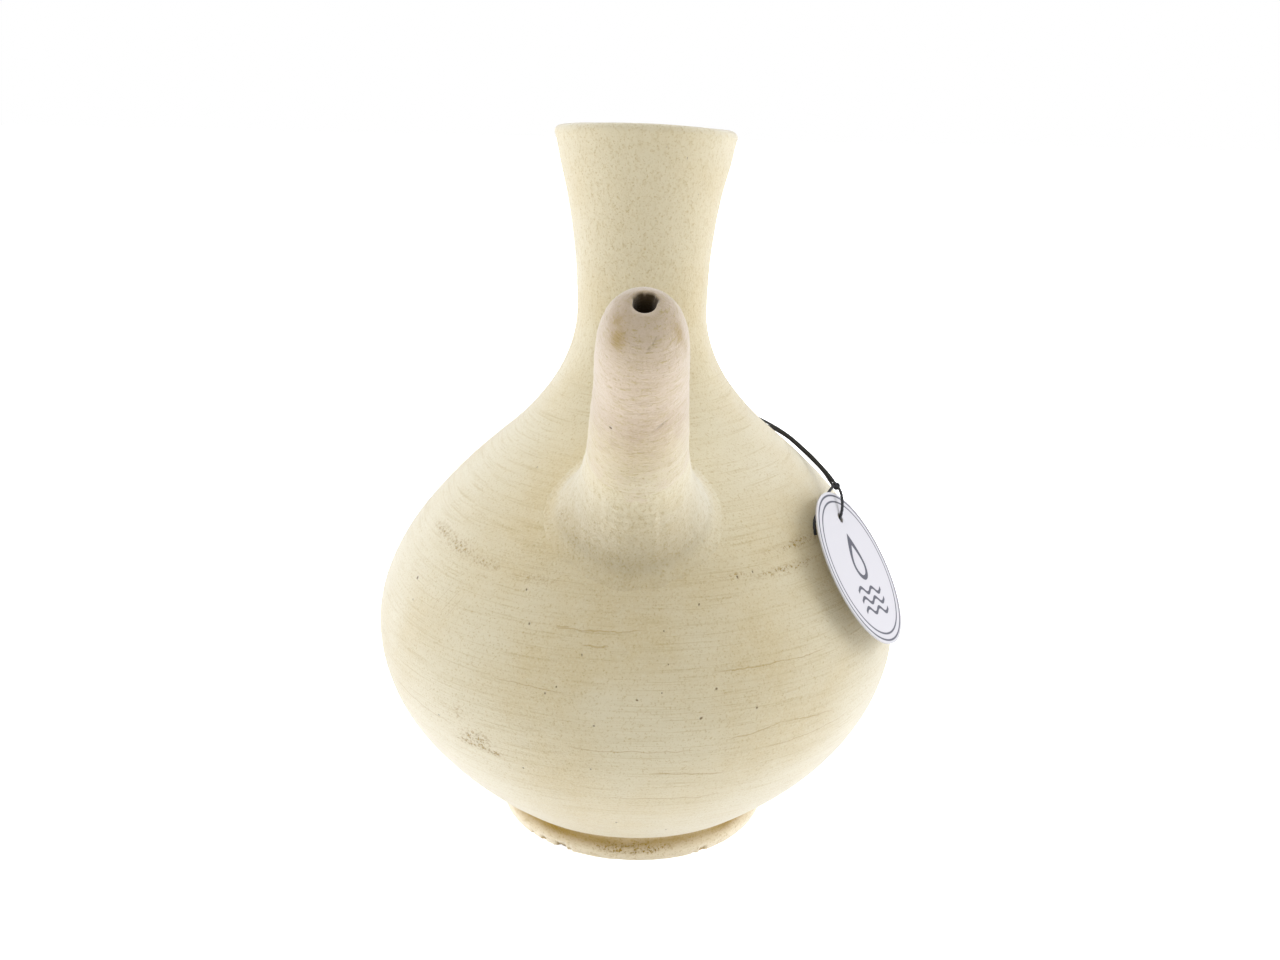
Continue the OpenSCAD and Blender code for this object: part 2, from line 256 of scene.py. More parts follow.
def sizes(group):
    """One of the pot's property groups, by its short name."""
    return getattr(bpy.context.scene, "botijo_" + group)


# Noise and normals, as whole arrays

def lattice(cells, seed):
    """A fixed pseudo-random value from -1 to 1 for each whole-numbered cell, mixed from its numbers.

    Each number and the seed are multiplied by a large constant and added. Then the high bits are folded into
    the low ones twice, with one more multiplication between. All of it wraps round at 2^32.
    """
    x, y, z = (cells[..., k].astype(np.uint32) for k in range(3))
    mixed = x * np.uint32(374761393) + y * np.uint32(668265263) + z * np.uint32(2246822519)
    mixed = mixed + np.uint32(seed * 97561)
    mixed = (mixed ^ (mixed >> np.uint32(13))) * np.uint32(1274126177)
    mixed = mixed ^ (mixed >> np.uint32(16))
    return mixed / 2.0 ** 31 - 1


def noise(points, size, seed):
    """Smooth noise: lattice values at cells of the given size, blended by t^3 (6 t^2 - 15 t + 10)."""
    place = points / size
    cell = np.floor(place).astype(np.int64)
    t = place - cell
    t = t ** 3 * (t * (t * 6 - 15) + 10)
    total = np.zeros(points.shape[:-1])
    for corner in np.ndindex(2, 2, 2):
        weight = np.prod(np.where(np.array(corner, bool), t, 1 - t), axis=-1)
        total += weight * lattice(cell + np.array(corner), seed)
    return total


def unit(vectors):
    """Vectors scaled to length one."""
    return vectors / np.maximum(np.linalg.norm(vectors, axis=-1, keepdims=True), 1e-12)


def smooth_step(low, high, value):
    """0 at low, 1 at high, constant beyond them, and a smooth way between."""
    t = np.clip((value - low) / (high - low), 0, 1)
    return t * t * (3 - 2 * t)


def turned(columns):
    """Angles of evenly spaced columns around an axis, as one row."""
    return np.linspace(0, 2 * np.pi, columns, endpoint=False)[None, :]


def steps(low, high, size):
    """Heights from low to high in equal steps of about the given size."""
    return np.linspace(low, high, int(np.ceil((high - low) / size)) + 1)


# Meshes

def skin(name, rings, closed, body, node, sharp=40, marks=None):
    """A piece from a grid of rings. Closed rings meet like a tyre; otherwise each end is closed by a fan.

    The faces' order is turned round if the volume that they enclose is negative, so they point outwards. The
    marks are attributes of the points, and the two middles of the fans keep 0.
    """
    rows, columns = rings.shape[:2]
    points = rings.reshape(-1, 3)
    index = np.arange(rows * columns).reshape(rows, columns)
    lower = index if closed else index[:-1]
    upper = np.roll(index, -1, 0) if closed else index[1:]
    quads = np.stack([lower, np.roll(lower, -1, 1), np.roll(upper, -1, 1), upper], -1).reshape(-1, 4)
    fans = np.zeros((0, 3), int)
    if not closed:
        middle = len(points)
        points = np.concatenate([points, [rings[0].mean(0)], [rings[-1].mean(0)]])
        first, last = index[0], index[-1]
        fans = np.concatenate([
            np.stack([np.roll(first, -1), first, np.full(columns, middle)], -1),
            np.stack([last, np.roll(last, -1), np.full(columns, middle + 1)], -1)])
    triangles = np.concatenate([quads[:, [0, 1, 2]], quads[:, [0, 2, 3]], fans])
    a, b, c = (points[triangles[:, k]] for k in range(3))
    if np.einsum("ij,ij->", a, np.cross(b, c)) < 0:
        quads, fans = quads[:, ::-1], fans[:, ::-1]
    mesh = bpy.data.meshes.new(name)
    mesh.vertices.add(len(points))
    mesh.vertices.foreach_set("co", points.astype(np.float32).ravel())
    corners = np.concatenate([quads.ravel(), fans.ravel()]).astype(np.int32)
    quad_starts, fan_starts = 4 * np.arange(len(quads)), quads.size + 3 * np.arange(len(fans))
    starts = np.concatenate([quad_starts, fan_starts]).astype(np.int32)
    mesh.loops.add(len(corners))
    mesh.loops.foreach_set("vertex_index", corners)
    mesh.polygons.add(len(starts))
    mesh.polygons.foreach_set("loop_start", starts)
    mesh.update(calc_edges=True)
    mesh.validate()
    mesh.shade_smooth()
    mesh.set_sharp_from_angle(angle=math.radians(sharp))
    for label, values in (marks or {}).items():
        layer = mesh.attributes.new(label, "FLOAT", "POINT")
        filled = np.zeros(len(points), np.float32)
        filled[:rows * columns] = np.broadcast_to(values, (rows, columns)).ravel()
        layer.data.foreach_set("value", filled)
    piece = bpy.data.objects.new(name, mesh)
    bpy.context.scene.collection.objects.link(piece)
    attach(piece, body)
    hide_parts(node)
    return piece


def finish_piece(piece, material):
    """Gives a piece its material."""
    piece.data.materials.append(material)


# The thrown wall

def wall_radius(height):
    """Outer radius of the thrown wall: between two stations a cubic that keeps both radii and slopes."""
    wall = sizes("wall")
    stations = [(BOWL_FOOT, wall.bowl_radius, wall.bowl_slope), (wall.belly_height, wall.belly_radius, 0.0),
                (wall.shoulder_height, wall.shoulder_radius, -wall.shoulder_slope),
                (wall.waist_height, wall.waist_radius, 0.0), (RIM_TOP, wall.rim_radius, wall.rim_slope)]
    height = np.asarray(height, float)
    radius = np.zeros_like(height)
    for (z0, r0, m0), (z1, r1, m1) in zip(stations[:-1], stations[1:]):
        span = z1 - z0
        t = (height - z0) / span
        cubic = ((2 * t ** 3 - 3 * t ** 2 + 1) * r0 + (t ** 3 - 2 * t ** 2 + t) * span * m0
                 + (3 * t ** 2 - 2 * t ** 3) * r1 + (t ** 3 - t ** 2) * span * m1)
        first, last = z0 == stations[0][0], z1 == stations[-1][0]
        inside = ((height >= z0) | first) & ((height < z1) | last)
        radius = np.where(inside, cubic, radius)
    return radius


def wall_slope(height):
    """Growth of the outer radius with height."""
    step = 0.05 * MM
    return (wall_radius(height + step) - wall_radius(height - step)) / (2 * step)


def wall_thickness(height):
    """Thickness of the wall, which thins from the shoulder to the waist."""
    wall = sizes("wall")
    heights = [wall.shoulder_height, wall.waist_height]
    return np.interp(height, heights, [wall.thickness, wall.neck_thickness])


def wall_gap(points):
    """Distance of points from the thrown wall, outside positive: radial distance over sqrt(1 + slope^2)."""
    height = points[..., 2]
    radial = np.hypot(points[..., 0], points[..., 1]) - wall_radius(height)
    return radial / np.sqrt(1 + wall_slope(height) ** 2)


def wall_normal(points):
    """Outward normal of the thrown wall nearest to points."""
    slope = wall_slope(points[..., 2])
    flat = unit(points[..., :2])
    return unit(np.concatenate([flat, -slope[..., None]], -1))


def at_gap(points, gap):
    """Points moved along the wall's normal, in three steps, to the given distance from it."""
    for _ in range(3):
        points = points - wall_normal(points) * (wall_gap(points) - gap)[..., None]
    return points


def unburied(points):
    """Points that lie too deep inside the wall, moved out to the depth at which hidden ends stop."""
    return at_gap(points, np.maximum(wall_gap(points), -BURIED))


def melt(points, outward, reach):
    """Spreads what is pressed on the wall, so that it melts into it with a round foot.

    A point at a gap below reach slides outward along the wall by reach - sqrt(reach^2 - (reach - gap)^2),
    and keeps its gap. Points inside the wall slide by the whole reach. Within 6 mm of the wall the skin
    takes on the wall's own unevenness, so that both run into each other without an edge.
    """
    gap = np.maximum(wall_gap(points), -BURIED)
    lack = np.clip(1 - gap / reach, 0, 1)
    slide = reach * (1 - np.sqrt(1 - lack ** 2))
    moved = at_gap(points + outward * slide[..., None], gap)
    near = 1 - smooth_step(0, 6 * MM, gap)
    return moved + wall_normal(moved) * (near * wall_relief(moved))[..., None]


# Crumbly places: degrees from the front towards the card, height, half width, half height, strength
SCARS = [
    (-36, 67, 3.2, 1.5, 0.8), (-30, 66, 3.0, 1.2, 0.8), (-33, 70, 4.2, 4.0, 0.55), (-37, 79, 2.0, 5.0, 0.3),
    (40, 130, 12, 1.3, 0.5), (45, 136, 12, 1.3, 0.5), (24, 131, 3, 1.2, 0.5),
    (-60, 133, 9, 2.0, 0.42), (-50, 131.5, 8, 2.4, 0.42), (-40, 130, 9, 2.0, 0.34), (-24, 129, 8, 1.8, 0.3),
    (9, 131, 12, 1.8, 0.16), (-16, 143, 1.6, 3.0, 0.3), (-21, 149.4, 2.5, 2.0, 0.4),
    (110, 131, 30, 1.8, 0.55), (190, 131, 40, 1.8, 0.5), (250, 131, 25, 1.8, 0.6),
]


def crumble(points):
    """How crumbly the clay is at each point, 0 to 1: soft-edged patches from the list above."""
    azimuth = np.degrees(np.arctan2(points[..., 0], -points[..., 1]))
    height = points[..., 2] / MM
    most = np.zeros(points.shape[:-1])
    for degrees, level, half_width, half_height, strength in SCARS:
        turn = (azimuth - degrees + 180) % 360 - 180
        patch = np.exp(-((turn / half_width) ** 2 + ((height - level) / half_height) ** 2))
        most = np.maximum(most, strength * patch)
    return most


def wall_relief(points):
    """Height of the unevenness: broad swell, finer dents, turning rings and the torn seam."""
    wall = sizes("wall")
    flattened = points * np.array([0.04, 0.04, 1.0])
    return (wall.swell * noise(points, 55 * MM, 11) + wall.dents * noise(points, 17 * MM, 12)
            + wall.rings * noise(flattened, 2.6 * MM, 13)
            + wall.scar * crumble(points) * (noise(points, 2.2 * MM, 14) - 0.3))


def wall_rings(heights, depth):
    """Rings of the wall of revolution at some heights: depth 0 is the outer face, and 1 the inner face.

    On the inner face the radius is smaller by the wall's thickness times sqrt(1 + slope^2), which keeps the
    wall's thickness square to its surface.
    """
    around = turned(WALL_COLUMNS)
    height = np.asarray(heights)[:, None]
    inward = depth * wall_thickness(height) * np.sqrt(1 + wall_slope(height) ** 2)
    radius = wall_radius(height) - inward
    return np.stack(np.broadcast_arrays(radius * np.cos(around), radius * np.sin(around), height), -1)


def with_relief(rings):
    """Rings of the outer face moved along the wall's normal by the relief."""
    return rings + wall_normal(rings) * wall_relief(rings)[..., None]


def thrown_section(name, node, low, high, edge=0.0):
    """A closed ring of wall from low to high: outer face upwards, then inner face downwards.

    With an edge, the outer face's lowest rows are drawn in along a quarter circle of that radius.
    """
    heights = steps(low, high, WALL_STEP)
    if edge:
        foot = low + edge * (1 - np.cos(np.linspace(0, np.pi / 2, 6)))
        heights = np.concatenate([foot[:-1], steps(low + edge, high, WALL_STEP)])
    outer = with_relief(wall_rings(heights, 0))
    if edge:
        lack = np.clip(1 - (heights - low) / edge, 0, 1)
        inset = edge * (1 - np.sqrt(1 - lack ** 2))
        outer[..., :2] *= (1 - inset / wall_radius(heights))[:, None, None]
    inner = wall_rings(steps(low, high, 4 * WALL_STEP)[::-1], 1)
    rings = np.concatenate([outer, inner])
    return skin(name, rings, True, "vessel", node, marks={"crumble": crumble(rings)})


# Materials

def add(tree, kind, inputs=None, **settings):
    """Adds a node with its settings; each input gets a value, or a link if the value is a socket."""
    made = tree.nodes.new(kind)
    for key, value in settings.items():
        setattr(made, key, value)
    for key, value in (inputs or {}).items():
        if isinstance(value, bpy.types.NodeSocket):
            tree.links.new(value, made.inputs[key])
        else:
            made.inputs[key].default_value = value
    return made


def maths(tree, operation, *values):
    """Result of a Math node on one, two or three values."""
    return add(tree, "ShaderNodeMath", dict(enumerate(values)), operation=operation).outputs[0]


def weaker(tree, value, factor):
    """A value times a constant."""
    return maths(tree, "MULTIPLY", value, factor)


def grain(tree, coordinates, frequency, detail=2.0, roughness=0.5):
    """Noise with so many swells per metre along each axis."""
    scaled = add(tree, "ShaderNodeMapping", {"Vector": coordinates, "Scale": frequency}).outputs[0]
    return add(tree, "ShaderNodeTexNoise", {"Vector": scaled, "Scale": 1.0, "Detail": detail,
                                            "Roughness": roughness}).outputs["Fac"]


def fade(tree, value, at_zero, at_one):
    """0 where value is at_zero, 1 where it is at_one, with a smooth way between."""
    return add(tree, "ShaderNodeMapRange", {"Value": value, "From Min": at_zero, "From Max": at_one},
               interpolation_type="SMOOTHSTEP").outputs[0]


def hairlines(tree, pattern, width, where, low, high):
    """Thin lines where a noise pattern passes its middle value, kept only where another noise is high."""
    off = maths(tree, "ABSOLUTE", maths(tree, "SUBTRACT", pattern, 0.5))
    return maths(tree, "MULTIPLY", fade(tree, off, width, 0.3 * width), fade(tree, where, low, high))


def flecks(tree, coordinates, spacing, radius, kept):
    """Scattered small pits: round places in a share of the cells of a Voronoi pattern, in metres."""
    cells = add(tree, "ShaderNodeTexVoronoi", {"Vector": coordinates, "Scale": 1 / spacing})
    chance = add(tree, "ShaderNodeSeparateColor", {"Color": cells.outputs["Color"]})
    size = maths(tree, "MULTIPLY", chance.outputs[1], radius / spacing)
    inner = maths(tree, "SUBTRACT", size, cells.outputs["Distance"])
    spot = fade(tree, inner, 0.0, 0.4 * radius / spacing)
    present = maths(tree, "LESS_THAN", chance.outputs[0], kept)
    return maths(tree, "MULTIPLY", spot, present)


def tint(tree, share, first, second):
    """Two colours mixed by a share."""
    return add(tree, "ShaderNodeMixRGB", {"Fac": share, "Color1": first, "Color2": second}).outputs[0]


def attribute(tree, name):
    """A value that the mesh carries at its points."""
    return add(tree, "ShaderNodeAttribute", attribute_name=name).outputs["Fac"]


# Single pits on the belly and neck: degrees from the front, height and radius in millimetres
PITS = [
    (-25.5, 125.5, 0.6), (-22.8, 115.7, 0.6), (-10.5, 109, 0.5), (-17, 95.3, 0.55), (-14.9, 98, 0.45),
    (0.5, 95.3, 0.7), (-7.4, 85.7, 0.55), (-22.8, 62.2, 0.55), (-8.2, 67.4, 0.4), (5.8, 116.9, 0.45),
    (13.8, 123.9, 0.5), (15.8, 98.2, 0.65), (5.3, 98, 0.45), (12.8, 88.6, 0.7), (6.5, 106.8, 0.4),
    (24.5, 130.9, 0.7), (28.8, 131.3, 0.6), (-57.5, 109.3, 0.6), (-21.3, 149.4, 0.7), (-40.7, 159.4, 0.5),
    (23.8, 89.1, 0.7), (27, 270, 0.7), (13, 274, 0.4), (41, 257, 0.5), (9, 248, 0.45), (-4, 34, 0.6),
    (10, 26, 0.7),
]

# Fine cracks and tool marks: degrees and height of both ends, and half their width in millimetres
CRACKS = [
    (2.4, 66.6, 20, 64.1, 0.45), (17.7, 78.7, 30, 81.6, 0.35), (30, 81.6, 45, 78.9, 0.3),
    (13.7, 103.5, 44, 103.2, 0.25), (-19, 116.2, 3, 117, 0.25), (-15, 76, 13, 76.2, 0.25),
    (-11, 112.2, -5, 112, 0.4), (-17, 116.8, -13.6, 116.9, 0.35), (-46, 111, -42, 121.6, 0.3),
    (-44, 110, -40.5, 120, 0.25), (-49, 112, -45.6, 120.4, 0.25), (-62, 76, -38, 72, 0.3),
    (24, 72, 52, 74, 0.25), (-8, 53, 22, 52, 0.25), (-30, 97, -12, 96.2, 0.22),
]

# Width of one degree around the belly, in millimetres
MM_PER_DEGREE = 1.75


def placed_marks(tree, coordinates):
    """The single pits, and the cracks, as two patterns over degrees around the pot and height.

    The coordinates wander by a noise, so the cracks aren't straight. A pit is a distance to a point, with
    degrees turned to millimetres as on the widest part of the belly. A crack is the height above a sloping
    line, kept between the two ends.
    """
    place = add(tree, "ShaderNodeSeparateXYZ", {"Vector": coordinates})
    radians = maths(tree, "ARCTAN2", place.outputs[0], weaker(tree, place.outputs[1], -1.0))
    waver = maths(tree, "SUBTRACT", grain(tree, coordinates, (150, 150, 150), 3.0), 0.5)
    height = maths(tree, "MULTIPLY_ADD", waver, 2.4, weaker(tree, place.outputs[2], 1 / MM))
    degrees = maths(tree, "MULTIPLY_ADD", waver, 1.2, weaker(tree, radians, 180 / math.pi))
    across = weaker(tree, degrees, MM_PER_DEGREE)
    spot = add(tree, "ShaderNodeCombineXYZ", {"X": across, "Y": height}).outputs[0]
    pits, cracks = 0.0, 0.0
    for turn, level, radius in PITS:
        middle = (MM_PER_DEGREE * turn, level, 0)
        away = add(tree, "ShaderNodeVectorMath", {0: spot, 1: middle}, operation="DISTANCE")
        pits = maths(tree, "MAXIMUM", pits, fade(tree, away.outputs["Value"], 0.9 * radius, 0.2 * radius))
    for turn, level, last_turn, last_level, width in CRACKS:
        slope = (last_level - level) / (last_turn - turn)
        above = maths(tree, "MULTIPLY_ADD", degrees, -slope, height)
        off = maths(tree, "ABSOLUTE", maths(tree, "SUBTRACT", above, level - slope * turn))
        half = (last_turn - turn) / 2
        from_middle = maths(tree, "ABSOLUTE", maths(tree, "SUBTRACT", degrees, turn + half))
        kept = fade(tree, from_middle, half, 0.6 * half)
        line = maths(tree, "MULTIPLY", fade(tree, off, width, 0.4 * width), kept)
        cracks = maths(tree, "MAXIMUM", cracks, line)
    return pits, cracks


# Swells per metre of the clay's patterns: patches of 50 mm, mottling of 8 mm, grit of 0.8 mm, which is
# coarser than the real grit of 0.3 mm, so that it shows, crumbs of 1.2 mm and ragged edges of slip of 4 mm
PATCHES = (20, 20, 20)
MOTTLING = (130, 130, 130)
GRIT = (1300, 1300, 1300)
CRUMBS = (800, 800, 1000)
RAGGED = (260, 260, 260)


def bare_clay(name, look, base, pale, streaks, crinkles, centre=(0, 0, 0), turn=(0, 0, 0), marked=False,
              slipped=False):
    """Unglazed earthenware: thrown, scraped with a rib, wiped with slip and fired.

    It is matt and dusty, with broad paler patches of slip, mottling and grit, sparse dark pits, and ochre
    crumbs where the attribute crumble says that the surface was torn. Its tool marks are two noises, streaks
    and finer crinkles, with so many swells per metre along each axis. centre and turn place those axes, and
    look is how strongly the marks show. The attribute stain turns the clay ochre, and inside mixes in the
    dark brown of the colour depth: painted shade in the drinking hole, in its chips, in the foot's chips and
    under the collar, and a darker dome and tears. marked adds the single pits and cracks. On slipped clay
    the attribute slip gives where it is coated with buff slip, whose edge is ragged.
    """
    colours = sizes("colours")
    material = bpy.data.materials.new(name)
    material.use_nodes = True
    tree = material.node_tree
    shader = tree.nodes["Principled BSDF"]
    shader.inputs["Roughness"].default_value = 0.9
    shader.inputs["Diffuse Roughness"].default_value = 0.9
    shader.inputs["Specular IOR Level"].default_value = 0.2
    shader.inputs["Sheen Weight"].default_value = 0.6
    shader.inputs["Sheen Roughness"].default_value = 0.5
    place = add(tree, "ShaderNodeTexCoord").outputs["Object"]
    along = add(tree, "ShaderNodeMapping", {"Vector": place, "Location": centre, "Rotation": turn},
                vector_type="TEXTURE").outputs[0]
    broad = grain(tree, place, PATCHES)
    mottle = grain(tree, place, MOTTLING, 3.0, 0.6)
    grit = grain(tree, place, GRIT, 3.0, 0.65)
    crumbs = grain(tree, place, CRUMBS, 3.0, 0.7)
    marks = grain(tree, along, streaks, 3.0, 0.6)
    crinkle = grain(tree, along, crinkles, 3.0, 0.6)
    torn = attribute(tree, "crumble")
    tears = maths(tree, "MULTIPLY", fade(tree, torn, 0.05, 0.5), fade(tree, crumbs, 0.52, 0.58))
    lines = weaker(tree, hairlines(tree, marks, 0.012, mottle, 0.5, 0.62), 0.3)
    pits = flecks(tree, place, 12 * MM, 0.8 * MM, 0.3)
    if marked:
        single, cracks = placed_marks(tree, place)
        pits = maths(tree, "MAXIMUM", pits, single)
        lines = maths(tree, "MAXIMUM", lines, cracks)
    patches = fade(tree, broad, 0.35, 0.65)
    body = tint(tree, patches, base, pale)
    if slipped:
        ragged = maths(tree, "SUBTRACT", grain(tree, place, RAGGED, 3.0), 0.5)
        edge = maths(tree, "MULTIPLY_ADD", ragged, 0.8, attribute(tree, "slip"))
        slip = tint(tree, patches, colours.clay, colours.pale_clay)
        body = tint(tree, weaker(tree, fade(tree, edge, 0.2, 0.9), 0.9), body, slip)
    # Where each tint lies, its strength and its colour, from the lowest to the uppermost
    worked, ochre = colours.worked_clay, colours.ochre
    for where, strength, shade in (
            (fade(tree, mottle, 0.4, 0.65), 0.35, pale),
            (fade(tree, marks, 0.48, 0.72), 0.15 * look, worked),
            (fade(tree, crinkle, 0.5, 0.75), 0.6 * look, worked),
            (fade(tree, crinkle, 0.45, 0.25), 0.4 * look, pale),
            (fade(tree, grit, 0.54, 0.68), 0.6, worked),
            (fade(tree, grit, 0.46, 0.34), 0.6, pale),
            (lines, 0.38, ochre),
            (attribute(tree, "stain"), 0.85, ochre),
            (fade(tree, torn, 0.1, 0.8), 0.15, ochre),
            (tears, 0.9, ochre),
            (pits, 0.85, colours.shadow),
            # Painted shade from the attribute inside, which also darkens the dome and tears
            (attribute(tree, "inside"), 1.0, colours.depth)):
        body = tint(tree, weaker(tree, where, strength), body, shade)
    tree.links.new(body, shader.inputs["Base Color"])
    # Height of each pattern in millimetres
    raised = 0.0
    for pattern, height in (
            (marks, 0.1), (crinkle, 0.2 * look), (mottle, 0.12), (grit, 0.2), (lines, -0.05), (tears, -0.12),
            (pits, -0.25)):
        raised = maths(tree, "MULTIPLY_ADD", pattern, height, raised)
    bump = add(tree, "ShaderNodeBump", {"Height": raised, "Distance": MM, "Strength": 1.0})
    tree.links.new(bump.outputs[0], shader.inputs["Normal"])
    return material


# Stage

class BOTIJO_OT_stage(bpy.types.Operator):
    """Camera at the photograph's view, a white table and plain soft lights"""
    bl_idname = "botijo.stage"
    bl_label = "Stage"

    def execute(self, context):
        stage = sizes("stage")
        camera = bpy.data.objects.new("camera", bpy.data.cameras.new("camera"))
        context.scene.collection.objects.link(camera)
        camera.location = (stage.camera_side, -stage.camera_back, stage.camera_height)
        camera.rotation_euler = (math.pi / 2 - stage.pitch, 0, 0)
        camera.rotation_euler.rotate_axis("Z", stage.roll)
        camera.data.sensor_width = 36
        camera.data.lens = stage.lens
        context.scene.camera = camera
        context.scene.view_settings.view_transform = "Standard"
        self.light("left_light", (-0.95, 0, 0.45), 1.0, stage.side_light, stage.side_tone)
        self.light("right_light", (0.95, 0, 0.45), 1.0, stage.side_light, stage.side_tone)
        self.light("top_light", (0.0, 0.1, 1.3), 1.2, stage.top_light, (1, 1, 1))
        self.sky(context, stage)
        self.table(context, stage)
        return {"FINISHED"}

    def light(self, name, place, size, watts, tone):
        """A square area light that looks at the middle of the belly: its -Z axis turned towards it."""
        lamp = bpy.data.lights.new(name, "AREA")
        lamp.shape, lamp.size, lamp.energy, lamp.color = "SQUARE", size, watts, tone
        light = bpy.data.objects.new(name, lamp)
        bpy.context.scene.collection.objects.link(light)
        away = np.array(place) - np.array([0, 0, 0.12])
        light.location = place
        light.rotation_euler = (math.acos(away[2] / np.linalg.norm(away)), 0,
                                math.atan2(away[1], away[0]) + math.pi / 2)

    def sky(self, context, stage):
        """Even light from all around, weaker from the camera's side, and plain white behind the object."""
        world = context.scene.world or bpy.data.worlds.new("studio")
        context.scene.world = world
        world.use_nodes = True
        tree = world.node_tree
        tree.nodes.clear()
        everywhere = add(tree, "ShaderNodeTexCoord").outputs["Generated"]
        direction = add(tree, "ShaderNodeSeparateXYZ", {"Vector": everywhere})
        behind = fade(tree, direction.outputs[1], -0.9, 0.1)
        least = stage.sky * stage.front_sky
        level = maths(tree, "MULTIPLY_ADD", behind, stage.sky - least, least)
        seen = add(tree, "ShaderNodeLightPath").outputs["Is Camera Ray"]
        strength = maths(tree, "MAXIMUM", seen, level)
        light = add(tree, "ShaderNodeBackground", {"Color": (1, 1, 1, 1), "Strength": strength})
        add(tree, "ShaderNodeOutputWorld", {"Surface": light.outputs[0]})

    def table(self, context, stage):
        """A wide white table of matt acrylic that gives some light of its own.

        To the camera it looks white, and so bright that the pot's shadow on it can't be seen. The glow that
        only the camera sees grows with the distance from the pot's axis, from 0.42 within 0.1 m to 0.92
        beyond 0.5 m.
        """
        half = 6.0
        corners = [(-half, -half, 0), (half, -half, 0), (half, half, 0), (-half, half, 0)]
        mesh = bpy.data.meshes.new("table")
        mesh.from_pydata(corners, [], [(0, 1, 2, 3)])
        table = bpy.data.objects.new("table", mesh)
        context.scene.collection.objects.link(table)
        material = bpy.data.materials.new("white_acrylic_table")
        material.use_nodes = True
        tree = material.node_tree
        tree.nodes.clear()
        place = add(tree, "ShaderNodeTexCoord").outputs["Object"]
        from_axis = add(tree, "ShaderNodeVectorMath", {0: place}, operation="LENGTH").outputs["Value"]
        shown = maths(tree, "MULTIPLY_ADD", fade(tree, from_axis, 0.1, 0.5), 0.5, 0.42)
        seen = add(tree, "ShaderNodeLightPath").outputs["Is Camera Ray"]
        glow = maths(tree, "MULTIPLY_ADD", seen, shown, stage.table_glow)
        matt = add(tree, "ShaderNodeBsdfDiffuse", {"Color": sizes("colours").floor})
        lit = add(tree, "ShaderNodeEmission", {"Color": (1, 1, 1, 1), "Strength": glow})
        both = add(tree, "ShaderNodeAddShader", {0: matt.outputs[0], 1: lit.outputs[0]})
        add(tree, "ShaderNodeOutputMaterial", {"Surface": both.outputs[0]})
        mesh.materials.append(material)


# Cord and knots

# Points of the cord's routes in millimetres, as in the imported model: the doubled cord from the knot round
# the handle and back, the strand through the card's hole, and the strand that ends behind the card
CORD_ROUTE = [
    [76.6, -15.7, 147.2], [75, -11.6, 148.8], [72.4, -6, 150.8], [69.6, -0.4, 152.8], [66.2, 6, 154.8],
    [62, 14.6, 156.8], [56.8, 23.6, 158.4], [50.6, 33, 159.6], [42, 44.4, 161], [31.5, 55.5, 163],
    [22, 66, 164.4], [15.6, 73.5, 165.2], [10, 77.6, 165.8], [3, 78.8, 166], [-4, 78.8, 166],
    [-10, 77.4, 165.8], [-13.8, 73.6, 165.4], [-14.2, 68.6, 165.2], [-11, 64.6, 165], [-5, 63.2, 164.8],
    [2, 62.9, 164.4], [9, 62.4, 163.6], [16.5, 60.6, 162.4], [25, 56.4, 160.8], [33.4, 51, 159.4],
    [41.4, 44.6, 158.2], [49, 37.2, 157.5], [55.7, 27.9, 156.9], [61.5, 17.2, 155.7], [66, 7.6, 153.6],
    [69.6, -0.4, 151.6], [73.2, -8, 149.1], [76, -15.6, 146]]
FRONT_ROUTE = [
    [77.8, -18.8, 146], [78.4, -21.4, 145.3], [78.7, -24.2, 143.9], [78.7, -27, 141.7], [78.2, -29.5, 139.3],
    [77.4, -31.1, 137.4], [76.5, -32.6, 136], [75.4, -34.5, 135.3], [74.1, -36.3, 135.7],
    [72.7, -37.3, 137.4], [71.4, -37, 139], [70.6, -35.8, 140.4], [70.3, -34.2, 141.3]]
TAIL_ROUTE = [
    [76.1, -18.7, 146.4], [74.8, -21.4, 146], [72.9, -25.2, 144.9], [71.6, -28.4, 143.9], [70.3, -32, 143],
    [69, -35.8, 142.3], [67.4, -40, 141.9], [66, -44.2, 141.3], [65.5, -47.4, 139.6], [65.9, -49.2, 136.8]]


def smooth_route(route, per_span):
    """A Catmull-Rom line through a route's points, in metres, with so many steps between each two."""
    p = np.array(route, float) * MM
    p = np.concatenate([p[:1], p, p[-1:]])
    t = (np.arange(per_span) / per_span)[None, :, None]
    a, b, c, d = (p[k:len(p) - 3 + k, None, :] for k in range(4))
    line = (2 * b + (c - a) * t + (2 * a - 5 * b + 4 * c - d) * t ** 2
            + (3 * b - a - 3 * c + d) * t ** 3) / 2
    return np.concatenate([line.reshape(-1, 3), p[-1:]])


def laid_cord(line, diameter, plies=3, columns=24):
    """Rings of a laid cord along a line, whose plies turn once in 4.5 diameters and shape its radius.

    The two directions square to the line are turned as little as possible from each point to the next.
    """
    ahead = unit(np.gradient(line, axis=0))
    side = np.cross(ahead[0], (0.2, 0.3, 1.0))
    sides = []
    for direction in ahead:
        side = unit(side - direction * (side @ direction))
        sides.append(side)
    first = np.array(sides)
    second = np.cross(ahead, first)
    along = np.concatenate([[0], np.cumsum(np.linalg.norm(np.diff(line, axis=0), axis=1))])
    around = turned(columns)
    turn = plies * (around - 2 * np.pi * along[:, None] / (4.5 * diameter))
    radius = diameter / 2 * (0.8 + 0.2 * np.abs(np.cos(turn / 2)))
    return (line[:, None, :] + radius[..., None] * (np.cos(around)[..., None] * first[:, None, :]
                                                    + np.sin(around)[..., None] * second[:, None, :]))


